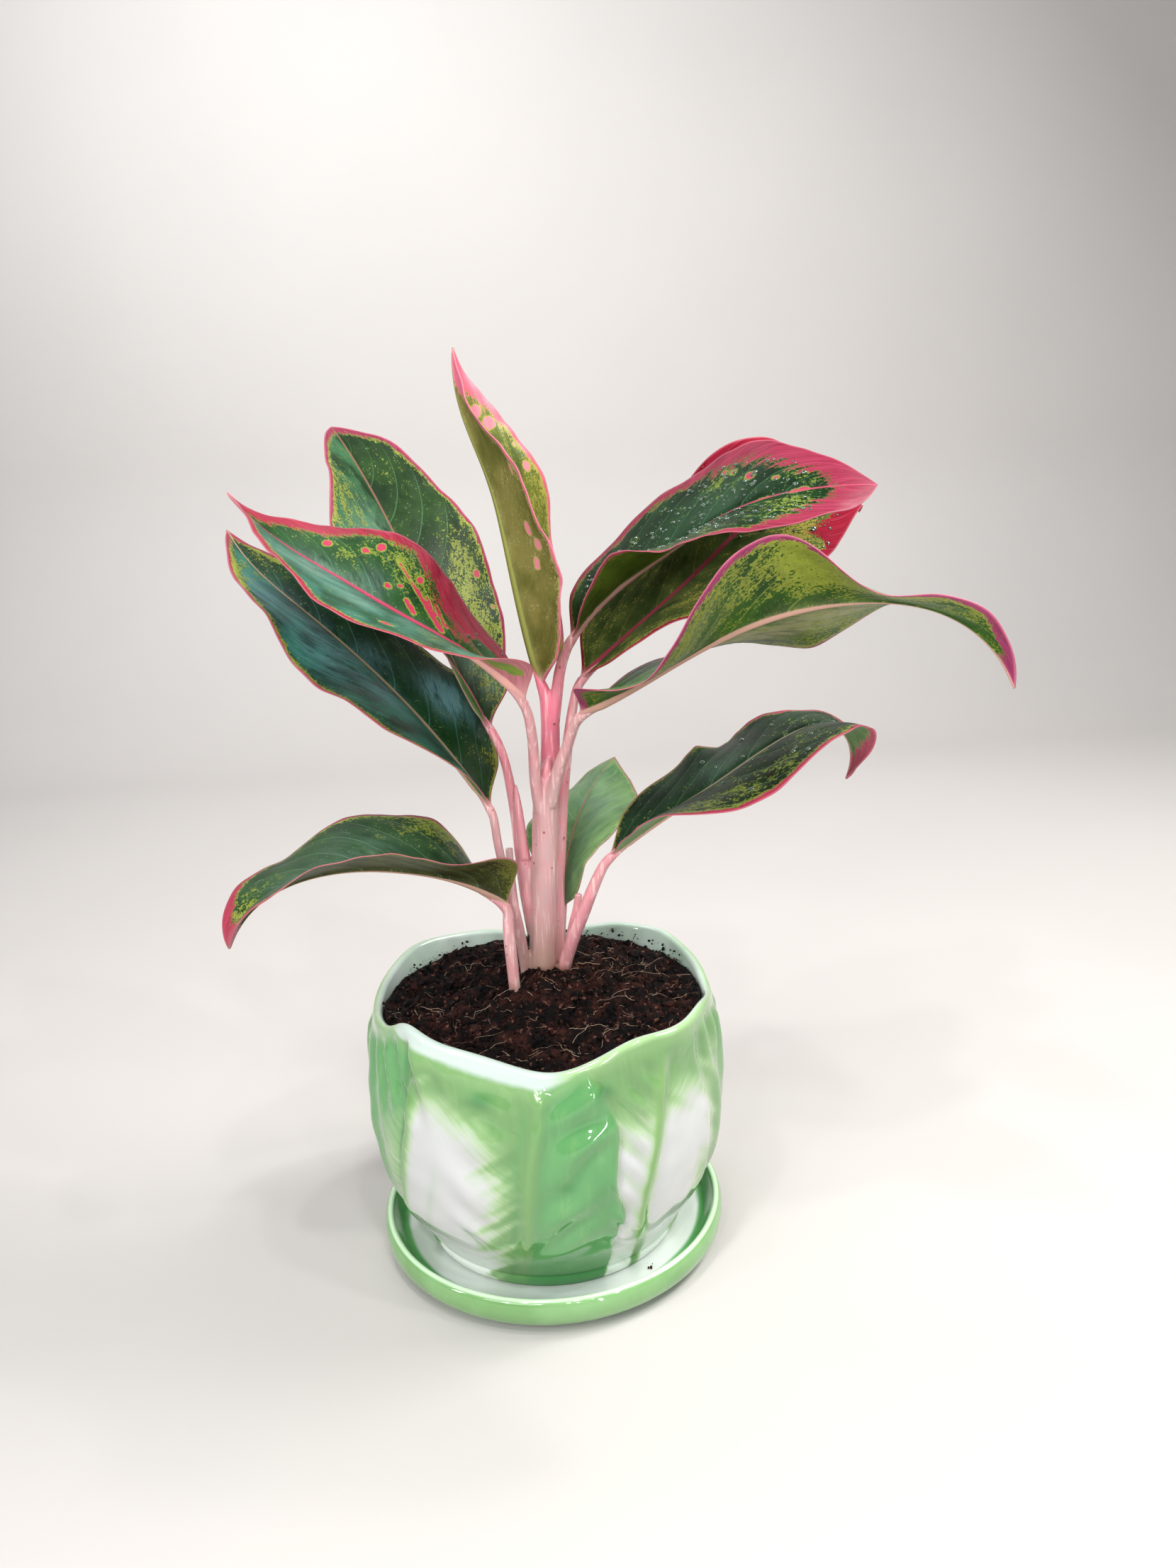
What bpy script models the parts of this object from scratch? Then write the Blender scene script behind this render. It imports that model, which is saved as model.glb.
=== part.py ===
"""Potted lipstick aglaonema: a small houseplant in a glazed leaf-shaped pot on a saucer.

The origin is the centre of the saucer's flat underside and +Z is up. The plant's
front, as it is usually looked at, faces -Y. All sizes below are in millimetres
and angles in degrees; they turn into metres and radians where meshes are made.
"""
import math
import random

import bmesh
import bpy
from mathutils import Vector

MM = 0.001
GAP = 0.3

# Saucer: a shallow turned dish
SAUCER_HEIGHT = 13.0
SAUCER_RADIUS = 62.0
SAUCER_FLOOR = 6.3
SAUCER_BASE_RADIUS = 52.0
SAUCER_SIDES = 56

# Pot: a round-bellied cachepot whose wall is four overlapping leaves
POT_FOOT_RADIUS = 46.0
POT_FOOT_BAND = 5.0
POT_RIM_HEIGHT = 96.0
POT_WALL_BOTTOM = 16.0
POT_COLUMNS = 84
POT_SKIN_LEVELS = 13
RIM_THICKNESS = 3.4

# Potting mix: domed, coarse and crumbly
SOIL_EDGE_HEIGHT = 90.6
SOIL_CROWN_HEIGHT = 99.0
SOIL_SIDES = 54
SOIL_RINGS = 10
SOIL_LUMP = 0.7

# Leaves
BLADE_THICKNESS = 0.85
MIDRIB_DEPTH = 1.3
BLADE_ROWS = 18
BLADE_COLUMNS = (0.08, 0.36, 0.70, 1.0)  # shares of the half width, from midrib to edge
BLADE_ROOT_HALF_WIDTH = 1.7
EDGE_WAVES = 3.4
EDGE_RIPPLE = 0.9


# Materials

def principled(name, colour, roughness, metallic=0.0):
    """A plain material with the part's own colour."""
    material = bpy.data.materials.new(name)
    material.use_nodes = True
    shader = material.node_tree.nodes["Principled BSDF"]
    shader.inputs["Base Color"].default_value = (*colour, 1.0)
    shader.inputs["Roughness"].default_value = roughness
    shader.inputs["Metallic"].default_value = metallic
    material.diffuse_color = (*colour, 1.0)
    return material


# Small mathematical helpers

def smooth_value(stations, t):
    """Value at t (0 to 1) on a smooth curve through evenly spaced stations."""
    last = len(stations) - 1
    place = min(max(t, 0.0), 1.0) * last
    index = min(int(place), last - 1)
    f = place - index
    p1 = stations[index]
    p2 = stations[index + 1]
    p0 = stations[index - 1] if index > 0 else p1 * 2 - p2
    p3 = stations[index + 2] if index + 2 <= last else p2 * 2 - p1
    slope = p2 - p0
    bend = p0 * 2 - p1 * 5 + p2 * 4 - p3
    twist = p1 * 3 - p0 - p2 * 3 + p3
    return p1 + (slope + (bend + twist * f) * f) * (0.5 * f)


def angle_gap(a, b):
    """Signed difference between two directions, -180 to 180 degrees."""
    return (a - b + 180.0) % 360.0 - 180.0


def bump(distance, width):
    """A round ridge, 1 at its middle."""
    return math.exp(-(distance / width) ** 2)


def ramp(value, start, end):
    """0 before start, 1 after end, smooth between them."""
    x = min(max((value - start) / (end - start), 0.0), 1.0)
    return x * x * (3.0 - 2.0 * x)


# Mesh helpers

def finish_mesh(name, vertices, faces, material, sharp_angle=40.0):
    """Make a smooth-shaded object from points in millimetres."""
    mesh = bpy.data.meshes.new(name)
    mesh.from_pydata([Vector(v) * MM for v in vertices], [], faces)
    mesh.materials.append(material)
    shape = bmesh.new()
    shape.from_mesh(mesh)
    bmesh.ops.recalc_face_normals(shape, faces=shape.faces)
    shape.to_mesh(mesh)
    shape.free()
    mesh.shade_smooth()
    mesh.set_sharp_from_angle(angle=math.radians(sharp_angle))
    thing = bpy.data.objects.new(name, mesh)
    bpy.context.scene.collection.objects.link(thing)
    return thing


def lathe(rows, sides):
    """Faces between rings of points, with the first and last rows as single points."""
    vertices = []
    starts = []
    for row in rows:
        starts.append(len(vertices))
        vertices.extend(row)
    faces = []
    for k in range(len(rows) - 1):
        low, high = starts[k], starts[k + 1]
        for i in range(sides):
            j = (i + 1) % sides
            if len(rows[k]) == 1:
                faces.append((low, high + i, high + j))
            elif len(rows[k + 1]) == 1:
                faces.append((low + j, low + i, high))
            else:
                faces.append((low + i, low + j, high + j))
                faces.append((low + i, high + j, high + i))
    return vertices, faces


def ring(radius, height, sides):
    """Points round the Z axis."""
    step = 2 * math.pi / sides
    return [(radius * math.cos(i * step), radius * math.sin(i * step), height)
            for i in range(sides)]


def apply_modifiers(thing):
    """Bake an object's modifiers into its mesh."""
    graph = bpy.context.evaluated_depsgraph_get()
    baked = bpy.data.meshes.new_from_object(thing.evaluated_get(graph))
    thing.modifiers.clear()
    old = thing.data
    thing.data = baked
    bpy.data.meshes.remove(old)


def combine(base, others, operation):
    """Boolean of one object with a collection of others, applied; the others go."""
    group = bpy.data.collections.new("operands")
    bpy.context.scene.collection.children.link(group)
    for other in others:
        bpy.context.scene.collection.objects.unlink(other)
        group.objects.link(other)
    cut = base.modifiers.new(operation.lower(), "BOOLEAN")
    cut.operation = operation
    cut.solver = "EXACT"
    cut.operand_type = "COLLECTION"
    cut.collection = group
    bpy.context.view_layer.update()
    apply_modifiers(base)
    for other in others:
        bpy.data.objects.remove(other)
    bpy.data.collections.remove(group)


# Saucer

def make_saucer(material):
    """A turned dish with a rolled rim and a flat floor."""
    r = SAUCER_RADIUS
    h = SAUCER_HEIGHT
    profile = [
        (SAUCER_BASE_RADIUS, 0.0), (r - 7.0, 0.5), (r - 3.6, 2.0), (r - 1.0, 4.6),
        (r, 7.4), (r - 0.1, 10.0), (r - 0.7, 12.0), (r - 1.6, h - 0.2), (r - 2.3, h),
        (r - 3.2, h - 0.6), (r - 4.2, h - 2.4), (r - 5.6, h - 4.6), (r - 7.0, SAUCER_FLOOR + 0.5),
        (r - 9.0, SAUCER_FLOOR),
    ]
    rows = [[(0.0, 0.0, 0.0)]]
    rows += [ring(radius, height, SAUCER_SIDES) for radius, height in profile]
    rows.append([(0.0, 0.0, SAUCER_FLOOR)])
    vertices, faces = lathe(rows, SAUCER_SIDES)
    return finish_mesh("saucer", vertices, faces, material, 50.0)


# Pot

# The four leaves of the wall: direction of each leaf's midrib and of its edges
LEAF_MIDRIBS = (-128.0, -46.0, 42.0, 140.0)
LEAF_EDGES = (-92.0, 0.0, 90.0, -176.0)
# The rim's height above or below its mean, by direction: tips and valleys
RIM_TIPS = ((-137.0, 6.6, 12.0), (-120.0, 4.0, 16.0), (-48.0, 2.6, 20.0), (-62.0, 1.6, 10.0),
            (40.0, 2.0, 16.0), (140.0, 2.2, 20.0), (58.0, 0.8, 8.0), (-25.0, 1.0, 12.0))
RIM_VALLEYS = ((-88.0, 3.2, 13.0), (-4.0, 3.4, 14.0), (88.0, 4.6, 16.0), (182.0, 2.0, 16.0))
# Outside of the belly: height over the pot's foot and radius
BELLY = (46.0, 49.6, 54.4, 57.7, 59.8, 61.3, 62.1, 62.5, 62.5, 62.2, 61.6, 60.9, 60.2, 59.7)
# Inside of the wall, round at every height: radius from the floor to the top
CAVITY = (45.0, 53.5, 56.8, 57.6, 57.2, 56.4, 55.6)
CAVITY_TOP = 94.0


def rim_height(direction):
    """Height of the waved rim in a direction."""
    height = POT_RIM_HEIGHT - 0.6
    for place, rise, width in RIM_TIPS:
        height += rise * bump(angle_gap(direction, place), width)
    for place, drop, width in RIM_VALLEYS:
        height -= drop * bump(angle_gap(direction, place), width)
    return height


def wall_relief(direction, height):
    """How far the moulded leaves stand out of the belly."""
    low = ramp(height, 12.0, 24.0)
    relief = 0.0
    for midrib in LEAF_MIDRIBS:
        lean = midrib - 4.0 * math.sin(height / 30.0)
        taper = 5.4 - 0.024 * height
        relief += 1.2 * low * bump(angle_gap(direction, lean), taper)
        side = abs(angle_gap(direction, midrib))
        vein = math.cos(2 * math.pi * (height - 0.75 * side) / 17.0)
        relief += 0.45 * low * vein * ramp(side, 4.0, 12.0) * (1.0 - ramp(side, 30.0, 44.0))
    for edge in LEAF_EDGES:
        lean = edge + 5.0 * math.sin(height / 24.0)
        step = angle_gap(direction, lean)
        relief += 1.3 * low * bump(step - 2.5, 3.2) - 0.9 * low * bump(step + 3.5, 3.2)
    return relief


def wall_radius(direction, height):
    """Outside radius of the pot at a height over the table."""
    foot = SAUCER_FLOOR + GAP
    share = (height - foot - POT_FOOT_BAND) / (POT_RIM_HEIGHT - foot - POT_FOOT_BAND)
    radius = smooth_value(BELLY, min(max(share, 0.0), 1.0))
    flare = sum(bump(angle_gap(direction, m), 13.0) for m in LEAF_MIDRIBS)
    tuck = sum(bump(angle_gap(direction, e), 15.0) for e in LEAF_EDGES)
    radius += ramp(height, 74.0, 100.0) * (2.4 * flare - 1.0 * tuck)
    return radius + wall_relief(direction, height) * (1.0 - ramp(height, 84.0, 99.0))


def pot_row(height_of, radius_of):
    """One ring of the pot; both values may depend on the direction."""
    row = []
    for i in range(POT_COLUMNS):
        direction = 360.0 * i / POT_COLUMNS
        radius = radius_of(direction)
        turn = math.radians(direction)
        row.append((radius * math.cos(turn), radius * math.sin(turn), height_of(direction)))
    return row


def cavity_radius(height):
    """Inside radius of the pot, round at every height."""
    return smooth_value(CAVITY, (height - POT_WALL_BOTTOM) / (CAVITY_TOP - POT_WALL_BOTTOM))


def make_pot(material):
    """The waved, moulded wall, its rounded lip, the cavity and the foot."""
    foot = SAUCER_FLOOR + GAP
    band_top = foot + POT_FOOT_BAND
    rows = [[(0.0, 0.0, foot)]]
    rows.append(ring(POT_FOOT_RADIUS - 1.2, foot, POT_COLUMNS))
    rows.append(ring(POT_FOOT_RADIUS, foot + 1.0, POT_COLUMNS))
    rows.append(ring(POT_FOOT_RADIUS + 1.2, band_top - 0.6, POT_COLUMNS))
    for level in range(POT_SKIN_LEVELS + 1):
        share = level / POT_SKIN_LEVELS

        def height_of(direction, share=share):
            return band_top + 0.4 + share * (rim_height(direction) - 1.8 - band_top - 0.4)

        def radius_of(direction, height_of=height_of):
            return wall_radius(direction, height_of(direction))

        rows.append(pot_row(height_of, radius_of))

    def lip(drop, inset):
        return pot_row(lambda d: rim_height(d) - drop,
                       lambda d: wall_radius(d, rim_height(d) - 1.8) - inset)

    rows.append(lip(0.5, 0.5))
    rows.append(lip(0.0, RIM_THICKNESS * 0.45))
    rows.append(lip(0.5, RIM_THICKNESS * 0.85))
    for height in (89.0, 66.0, 40.0, 22.0):
        rows.append(ring(cavity_radius(height), height, POT_COLUMNS))
    rows.append(ring(cavity_radius(POT_WALL_BOTTOM) - 2.0, POT_WALL_BOTTOM, POT_COLUMNS))
    rows.append([(0.0, 0.0, POT_WALL_BOTTOM)])
    vertices, faces = lathe(rows, POT_COLUMNS)
    return finish_mesh("pot", vertices, faces, material, 60.0)


# Potting mix

def soil_height(x, y, draw):
    """Lumpy dome of the potting mix, higher at the crown of the plant."""
    r = math.hypot(x, y)
    dome = SOIL_EDGE_HEIGHT + (SOIL_CROWN_HEIGHT - SOIL_EDGE_HEIGHT) * (1 - ramp(r, 4.0, 50.0))
    waves = math.sin(0.31 * x + 1.0) * math.sin(0.27 * y + 0.4)
    waves += 0.6 * math.sin(0.63 * x - 0.5 * y)
    return dome + (0.7 * waves + SOIL_LUMP * draw.uniform(-1.0, 1.0)) * (1 - ramp(r, 48.0, 55.0))


def make_soil(material, holes):
    """A filling with a lumpy top and plain holes for the stalks."""
    draw = random.Random(7)
    edge = cavity_radius(SOIL_EDGE_HEIGHT) - GAP - 0.15
    rows = [[(0.0, 0.0, POT_WALL_BOTTOM + GAP)]]
    for height in (POT_WALL_BOTTOM + GAP, 22.0, 40.0, 66.0):
        shrink = 2.6 if height < 20.0 else GAP + 0.25
        rows.append(ring(cavity_radius(height) - shrink, height, SOIL_SIDES))
    for k in range(SOIL_RINGS):
        radius = edge * (1.0 - k / SOIL_RINGS)
        row = []
        for x, y, _ in ring(radius, 0.0, SOIL_SIDES):
            row.append((x, y, soil_height(x, y, draw)))
        rows.append(row)
    rows.append([(0.0, 0.0, SOIL_CROWN_HEIGHT)])
    vertices, faces = lathe(rows, SOIL_SIDES)
    soil = finish_mesh("soil", vertices, faces, material, 80.0)
    combine(soil, holes, "DIFFERENCE")
    return soil


# Leaves

# Each leaf is a path that starts at its stalk. heading and rise turn the path at five
# stations from base to tip, roll banks the blade, and the folds lift the two halves
# of the blade from flat: left and right as seen along the path with the face up.
LEAVES = {
    "leaf_left_middle": dict(
        base=(0, -7, 197), length=120, width=57, blunt=(0.60, 1.00), curl=0,
        heading=(190, 190, 160, 155, 160), rise=(55, 35, 30, 30, 50), roll=(20, 0, -5, 0, 20),
        left=(30, 0, 5, 10, 10), right=(40, 25, 30, 30, 5)),
    "leaf_left_lower": dict(
        base=(-13, -7, 162), length=140, width=59, blunt=(0.60, 1.00), curl=-10,
        heading=(155, 150, 155, 150, 125), rise=(55, 45, 40, 35, 40), roll=(20, 10, 5, 5, 15),
        left=(25, 10, -5, 5, 10), right=(25, 25, 20, 25, 15)),
    "leaf_left_upper": dict(
        base=(-12, 11, 184.5), length=137, width=66, blunt=(0.65, 0.90), curl=0,
        heading=(150, 135, 125, 125, 125), rise=(55, 60, 50, 45, 35), roll=(10, 15, 5, 5, -5),
        left=(30, 25, 15, 25, 25), right=(20, 10, 5, 20, 30)),
    "leaf_spear": dict(
        base=(6, 7, 199), length=111, width=47, blunt=(0.65, 1.05), curl=-35,
        heading=(180, 185, 185, 180, 180), rise=(75, 80, 80, 70, 95), roll=(-10, 0, -5, -10, -10),
        left=(55, 50, 50, 50, 40), right=(65, 60, 65, 70, 50)),
    "leaf_right_upper": dict(
        base=(15, 4, 215), length=114, width=64, blunt=(0.65, 0.85), curl=-5,
        heading=(0, -10, -25, -20, 10), rise=(55, 35, 30, 10, -5), roll=(0, -5, 5, 10, 15),
        left=(30, 35, 35, 35, 25), right=(10, 15, 0, -10, -35)),
    "leaf_right_rear": dict(
        base=(18, 9, 201), length=138, width=66, blunt=(0.60, 0.95), curl=-10,
        heading=(5, -5, 10, 35, 45), rise=(40, 40, 40, 5, -35), roll=(10, 10, 20, 30, 10),
        left=(35, 20, 15, 30, 20), right=(20, 10, -10, -5, 0)),
    "leaf_right_front": dict(
        base=(16, -11, 193), length=151, width=69, blunt=(0.65, 1.05), curl=0,
        heading=(-35, -20, -20, -35, -40), rise=(25, 30, 15, -10, -70), roll=(5, 15, -10, 5, -20),
        left=(20, -15, -15, -10, 10), right=(45, 15, 35, 20, 55)),
    "leaf_right_low": dict(
        base=(24, -5, 142), length=119, width=55, blunt=(0.80, 0.95), curl=-10,
        heading=(-5, -25, 10, 25, 25), rise=(40, 35, 30, -5, -125), roll=(0, 5, 0, -5, 30),
        left=(40, 30, 5, 15, 55), right=(25, 15, 0, 10, 15)),
    "leaf_young": dict(
        base=(9, 16, 116), length=67, width=46, blunt=(0.95, 0.90), curl=-10,
        heading=(65, 55, 55, 55, 50), rise=(85, 70, 50, 30, 20), roll=(-10, -15, -10, -5, 5),
        left=(10, 10, 5, -15, -20), right=(25, 25, 10, -10, -20)),
    "leaf_left_low": dict(
        base=(-10, -6, 127), length=105, width=57, blunt=(0.60, 0.85), curl=-15,
        heading=(200, 190, 190, 195, 220), rise=(50, 20, 5, -20, -65), roll=(20, -5, -5, -5, -5),
        left=(70, 40, 40, 30, 45), right=(20, 25, 25, 10, 30)),
}
# Depth of the waves along the edge, where a leaf has more than the usual
LEAF_RIPPLE = dict(leaf_right_low=1.6, leaf_right_front=1.4, leaf_left_upper=1.2)


def leaf_frame(leaf, t):
    """Direction along the midrib, towards the left edge, and out of the face."""
    heading = math.radians(smooth_value(leaf["heading"], t))
    rise = math.radians(smooth_value(leaf["rise"], t))
    roll = math.radians(smooth_value(leaf["roll"], t))
    along = Vector((math.cos(rise) * math.cos(heading), math.cos(rise) * math.sin(heading),
                    math.sin(rise)))
    level = Vector((-math.sin(heading), math.cos(heading), 0.0))
    up = along.cross(level)
    left = level * math.cos(roll) + up * math.sin(roll)
    face = up * math.cos(roll) - level * math.sin(roll)
    return along, left, face


def half_width(leaf, t):
    """Half the blade's width: full near the base and drawn out to the tip."""
    a, b = leaf["blunt"]
    peak = a / (a + b)
    top = peak ** a * (1.0 - peak) ** b
    return 0.5 * leaf["width"] * t ** a * (1.0 - t) ** b / top


def leaf_row(leaf, name, t, middle):
    """Points of the blade's face across one station, from left edge to right edge."""
    _, left, face = leaf_frame(leaf, t)
    width = max(half_width(leaf, t), BLADE_ROOT_HALF_WIDTH * (1.0 - t))
    curl = math.radians(leaf["curl"])
    ripple = LEAF_RIPPLE.get(name, EDGE_RIPPLE) * ramp(t, 0.08, 0.3) * (1 - ramp(t, 0.85, 1.0))
    halves = []
    for side, folds, phase in ((1.0, leaf["left"], 0.0), (-1.0, leaf["right"], 1.9)):
        fold = math.radians(smooth_value(folds, t))
        points = []
        spot = middle.copy()
        inner = 0.0
        for share in BLADE_COLUMNS:
            angle = fold + curl * (inner + share) / 2
            out = left * (side * math.cos(angle)) + face * math.sin(angle)
            spot = spot + out * (width * (share - inner))
            wave = ripple * share * share * math.sin(2 * math.pi * EDGE_WAVES * t + phase)
            points.append(spot + face * wave)
            inner = share
        halves.append(points)
    return halves[0][::-1] + [middle.copy()] + halves[1]


def leaf_midrib(leaf, stations):
    """Points of the midrib at the stations."""
    spot = Vector(leaf["base"])
    points = [spot.copy()]
    steps = 8
    for start, end in zip(stations, stations[1:]):
        for k in range(steps):
            t = start + (end - start) * (k + 0.5) / steps
            along, _, _ = leaf_frame(leaf, t)
            spot = spot + along * (leaf["length"] * (end - start) / steps)
        points.append(spot.copy())
    return points


def make_leaf(name, leaf, material):
    """A thin closed blade with a keeled midrib beneath, a waved edge and a point."""
    stations = [(k / BLADE_ROWS) ** 1.2 for k in range(BLADE_ROWS + 1)]
    middles = leaf_midrib(leaf, stations)
    rows = [leaf_row(leaf, name, t, m) for t, m in zip(stations[:-1], middles[:-1])]
    across = len(rows[0])
    count = len(rows)
    centre = across // 2
    lower = []
    for k, row in enumerate(rows):
        before = rows[max(k - 1, 0)]
        after = rows[min(k + 1, count - 1)]
        _, _, face = leaf_frame(leaf, stations[k])
        under = []
        for i, point in enumerate(row):
            along = after[i] - before[i]
            over = row[max(i - 1, 0)] - row[min(i + 1, across - 1)]
            normal = along.cross(over).normalized()
            if k == 0:
                normal = face
            keel = MIDRIB_DEPTH * (1.0 - 0.85 * stations[k]) if i == centre else 0.0
            if abs(i - centre) == 1:
                keel = 0.35 * MIDRIB_DEPTH * (1.0 - stations[k])
            under.append(point - normal * (BLADE_THICKNESS + keel))
        lower.append(under)
    tip = middles[-1]
    _, _, face = leaf_frame(leaf, 1.0)
    vertices = [p for row in rows for p in row]
    offset = len(vertices)
    vertices += [p for row in lower for p in row]
    top_tip = len(vertices)
    vertices += [tip, tip - face * BLADE_THICKNESS]
    faces = []
    for k in range(count - 1):
        for i in range(across - 1):
            a = k * across + i
            b = a + across
            faces += [(a, a + 1, b + 1), (a, b + 1, b)]
            a += offset
            b += offset
            faces += [(a, b + 1, a + 1), (a, b, b + 1)]
    last = (count - 1) * across
    for i in range(across - 1):
        faces.append((last + i, last + i + 1, top_tip))
        faces.append((offset + last + i + 1, offset + last + i, top_tip + 1))
        faces.append((i + 1, i, offset + i))
        faces.append((i + 1, offset + i, offset + i + 1))
    for i in (0, across - 1):
        for k in range(count - 1):
            a = k * across + i
            faces.append((a, a + across, a + across + offset))
            faces.append((a, a + across + offset, a + offset))
        faces.append((last + i, top_tip, top_tip + 1))
        faces.append((last + i, top_tip + 1, last + offset + i))
    return finish_mesh(name, vertices, faces, material, 50.0)


# Stalks

def tube(name, points, radii, sides, material, finish=None):
    """A round stalk along a smooth curve, with flat ends; finish faces its last end."""
    path = [Vector(p) for p in points]
    stretches = max(2, (len(path) * 3 - 2) // 2)
    centres = [smooth_value(path, k / stretches) for k in range(stretches + 1)]
    widths = [smooth_value(radii, k / stretches) for k in range(stretches + 1)]
    count = len(centres)
    across = Vector((1.0, 0.0, 0.0))
    rows = [[tuple(centres[0])]]
    for k, (centre, radius) in enumerate(zip(centres, widths)):
        along = centres[min(k + 1, count - 1)] - centres[max(k - 1, 0)]
        if finish is not None and k == count - 1:
            along = finish
        along = along.normalized()
        across = (across - along * across.dot(along)).normalized()
        other = along.cross(across)
        row = []
        for i in range(sides):
            turn = 2 * math.pi * i / sides
            row.append(tuple(centre + (across * math.cos(turn) + other * math.sin(turn)) * radius))
        rows.append(row)
    rows.append([tuple(centres[-1])])
    vertices, faces = lathe(rows, sides)
    return finish_mesh(name, vertices, faces, material, 50.0)


# Stalks of the plant: points from the soil or the cane upwards, and the radius at each.
# A stalk that carries a leaf ends at that leaf's base.
CANE = ([(0.3, 6, 84), (0.5, 6, 96), (1.0, 5.5, 108), (2.2, 5, 125), (3.6, 4.5, 146),
         (4.8, 4.2, 163), (5.6, 4.5, 172)],
        (4.8, 5.0, 4.8, 4.5, 4.5, 4.3, 3.2))
STALKS = {
    "leaf_left_middle": ([(2.6, 2.4, 158), (1.4, 0, 170), (1.4, -3, 183)], (2.2, 2.0, 1.8, 1.6)),
    "leaf_right_front": ([(6.0, 2, 160), (9.4, -1.5, 173), (13.0, -5.5, 183)],
                         (2.4, 2.2, 1.9, 1.7)),
    "leaf_spear": ([(6.0, 5.5, 164), (7.2, 7, 179), (7.6, 7.4, 191)], (3.4, 3.3, 3.1, 1.9)),
    "leaf_right_upper": ([(8.0, 6.6, 183), (10.0, 5.6, 196), (11.8, 5, 206)],
                         (2.2, 2.1, 1.9, 1.7)),
    "leaf_right_rear": ([(6.6, 8.6, 90), (6.6, 8.6, 99), (7.2, 8.8, 126), (8.6, 8.6, 142),
                         (10.4, 8.8, 161), (13.4, 9.6, 180), (15.6, 9.6, 192)],
                        (2.3, 2.4, 2.5, 2.5, 2.3, 1.9, 1.7, 1.6)),
    "leaf_left_upper": ([(-1.8, 6.6, 112), (-3.2, 7.2, 127), (-4.4, 7.8, 141), (-5.8, 8.8, 154),
                         (-7.4, 10.0, 167), (-9.0, 10.4, 176)],
                        (2.6, 3.0, 2.7, 2.0, 1.7, 1.6, 1.6)),
    "leaf_left_lower": ([(-5.6, 4.4, 90), (-5.6, 4.2, 99), (-6.4, 2.2, 110), (-7.6, -0.2, 121),
                         (-10.0, -3.2, 136), (-12.2, -5.4, 149)],
                        (1.9, 1.9, 2.0, 1.8, 1.6, 1.5, 1.5)),
    "leaf_right_low": ([(7.8, 4.8, 90), (8.2, 4.4, 99), (11.6, 1.4, 111), (15.4, -1.2, 121),
                        (19.2, -3.2, 131)],
                       (2.3, 2.4, 2.4, 2.3, 2.1, 1.7)),
    "leaf_young": ([(7.1, 9.6, 102), (7.6, 12.4, 106), (8.4, 15.0, 111)], (1.7, 1.7, 1.5, 1.4)),
}
# Cut stubs of lost leaves and the pointed tip of a leaf sheath
STUBS = {
    "stub_right": ([(9.2, 4.4, 102), (11.4, 3.6, 113), (13.4, 3.0, 121), (14.4, 2.8, 127)],
                   (1.8, 1.7, 1.5, 1.3)),
    "stub_left": ([(-6.6, 2.6, 110), (-7.8, 3.4, 122), (-8.6, 3.4, 134), (-8.8, 3.4, 145)],
                  (1.3, 1.4, 1.4, 1.3)),
    "sheath_tip": ([(-3.8, 6.4, 140), (-4.4, 6.0, 150), (-4.9, 5.8, 160), (-5.3, 5.8, 167)],
                   (2.0, 1.8, 1.3, 0.5)),
    "sheath_collar": ([(4.4, 3.6, 160), (5.4, 3.0, 171), (6.2, 2.7, 176)], (2.8, 2.2, 0.8)),
}
FRONT_STALK = ([(-8.4, -9.2, 86), (-9.4, -9.6, 97), (-9.8, -9.0, 107), (-10.2, -8.2, 114),
                (-10.4, -7.3, 120.5)],
               (2.0, 2.0, 2.1, 2.1, 2.0, 1.7))
HOLE_CLEARANCE = 0.6


def stalk_for(name, points, radii, sides, material):
    """A stalk that meets its leaf's base squarely, a hair's breadth away."""
    leaf = LEAVES[name]
    along, _, _ = leaf_frame(leaf, 0.0)
    end = Vector(leaf["base"]) - along * GAP
    path = list(points) + [tuple(end)]
    return tube("stalk", path, radii, sides, material, along)


def soil_holes(material):
    """Cutters for the plain holes that the stalks stand in."""
    cutters = []
    grounded = [CANE, STALKS["leaf_right_rear"], STALKS["leaf_left_lower"],
                STALKS["leaf_right_low"], FRONT_STALK]
    for points, radii in grounded:
        low = Vector(points[0])
        high = Vector(points[1])
        along = (high - low).normalized()
        start = low - along * HOLE_CLEARANCE
        end = high + along * 16.0
        radius = max(radii[0], radii[1]) + HOLE_CLEARANCE
        cutters.append(tube("hole", [tuple(start), tuple(end)], (radius, radius), 14, material))
    return cutters


def make_stem(material):
    """The cane with its leaf stalks, cut stubs and sheath tips, grown together."""
    stem = tube("stem", *CANE, 14, material)
    parts = []
    for name, (points, radii) in STALKS.items():
        parts.append(stalk_for(name, points, radii, 9, material))
    for points, radii in STUBS.values():
        parts.append(tube("stub", points, radii, 8, material))
    combine(stem, parts, "UNION")
    stem.data.shade_smooth()
    stem.data.set_sharp_from_angle(angle=math.radians(50.0))
    return stem


def clear_scene():
    """Start from nothing."""
    for thing in list(bpy.data.objects):
        bpy.data.objects.remove(thing)


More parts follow.
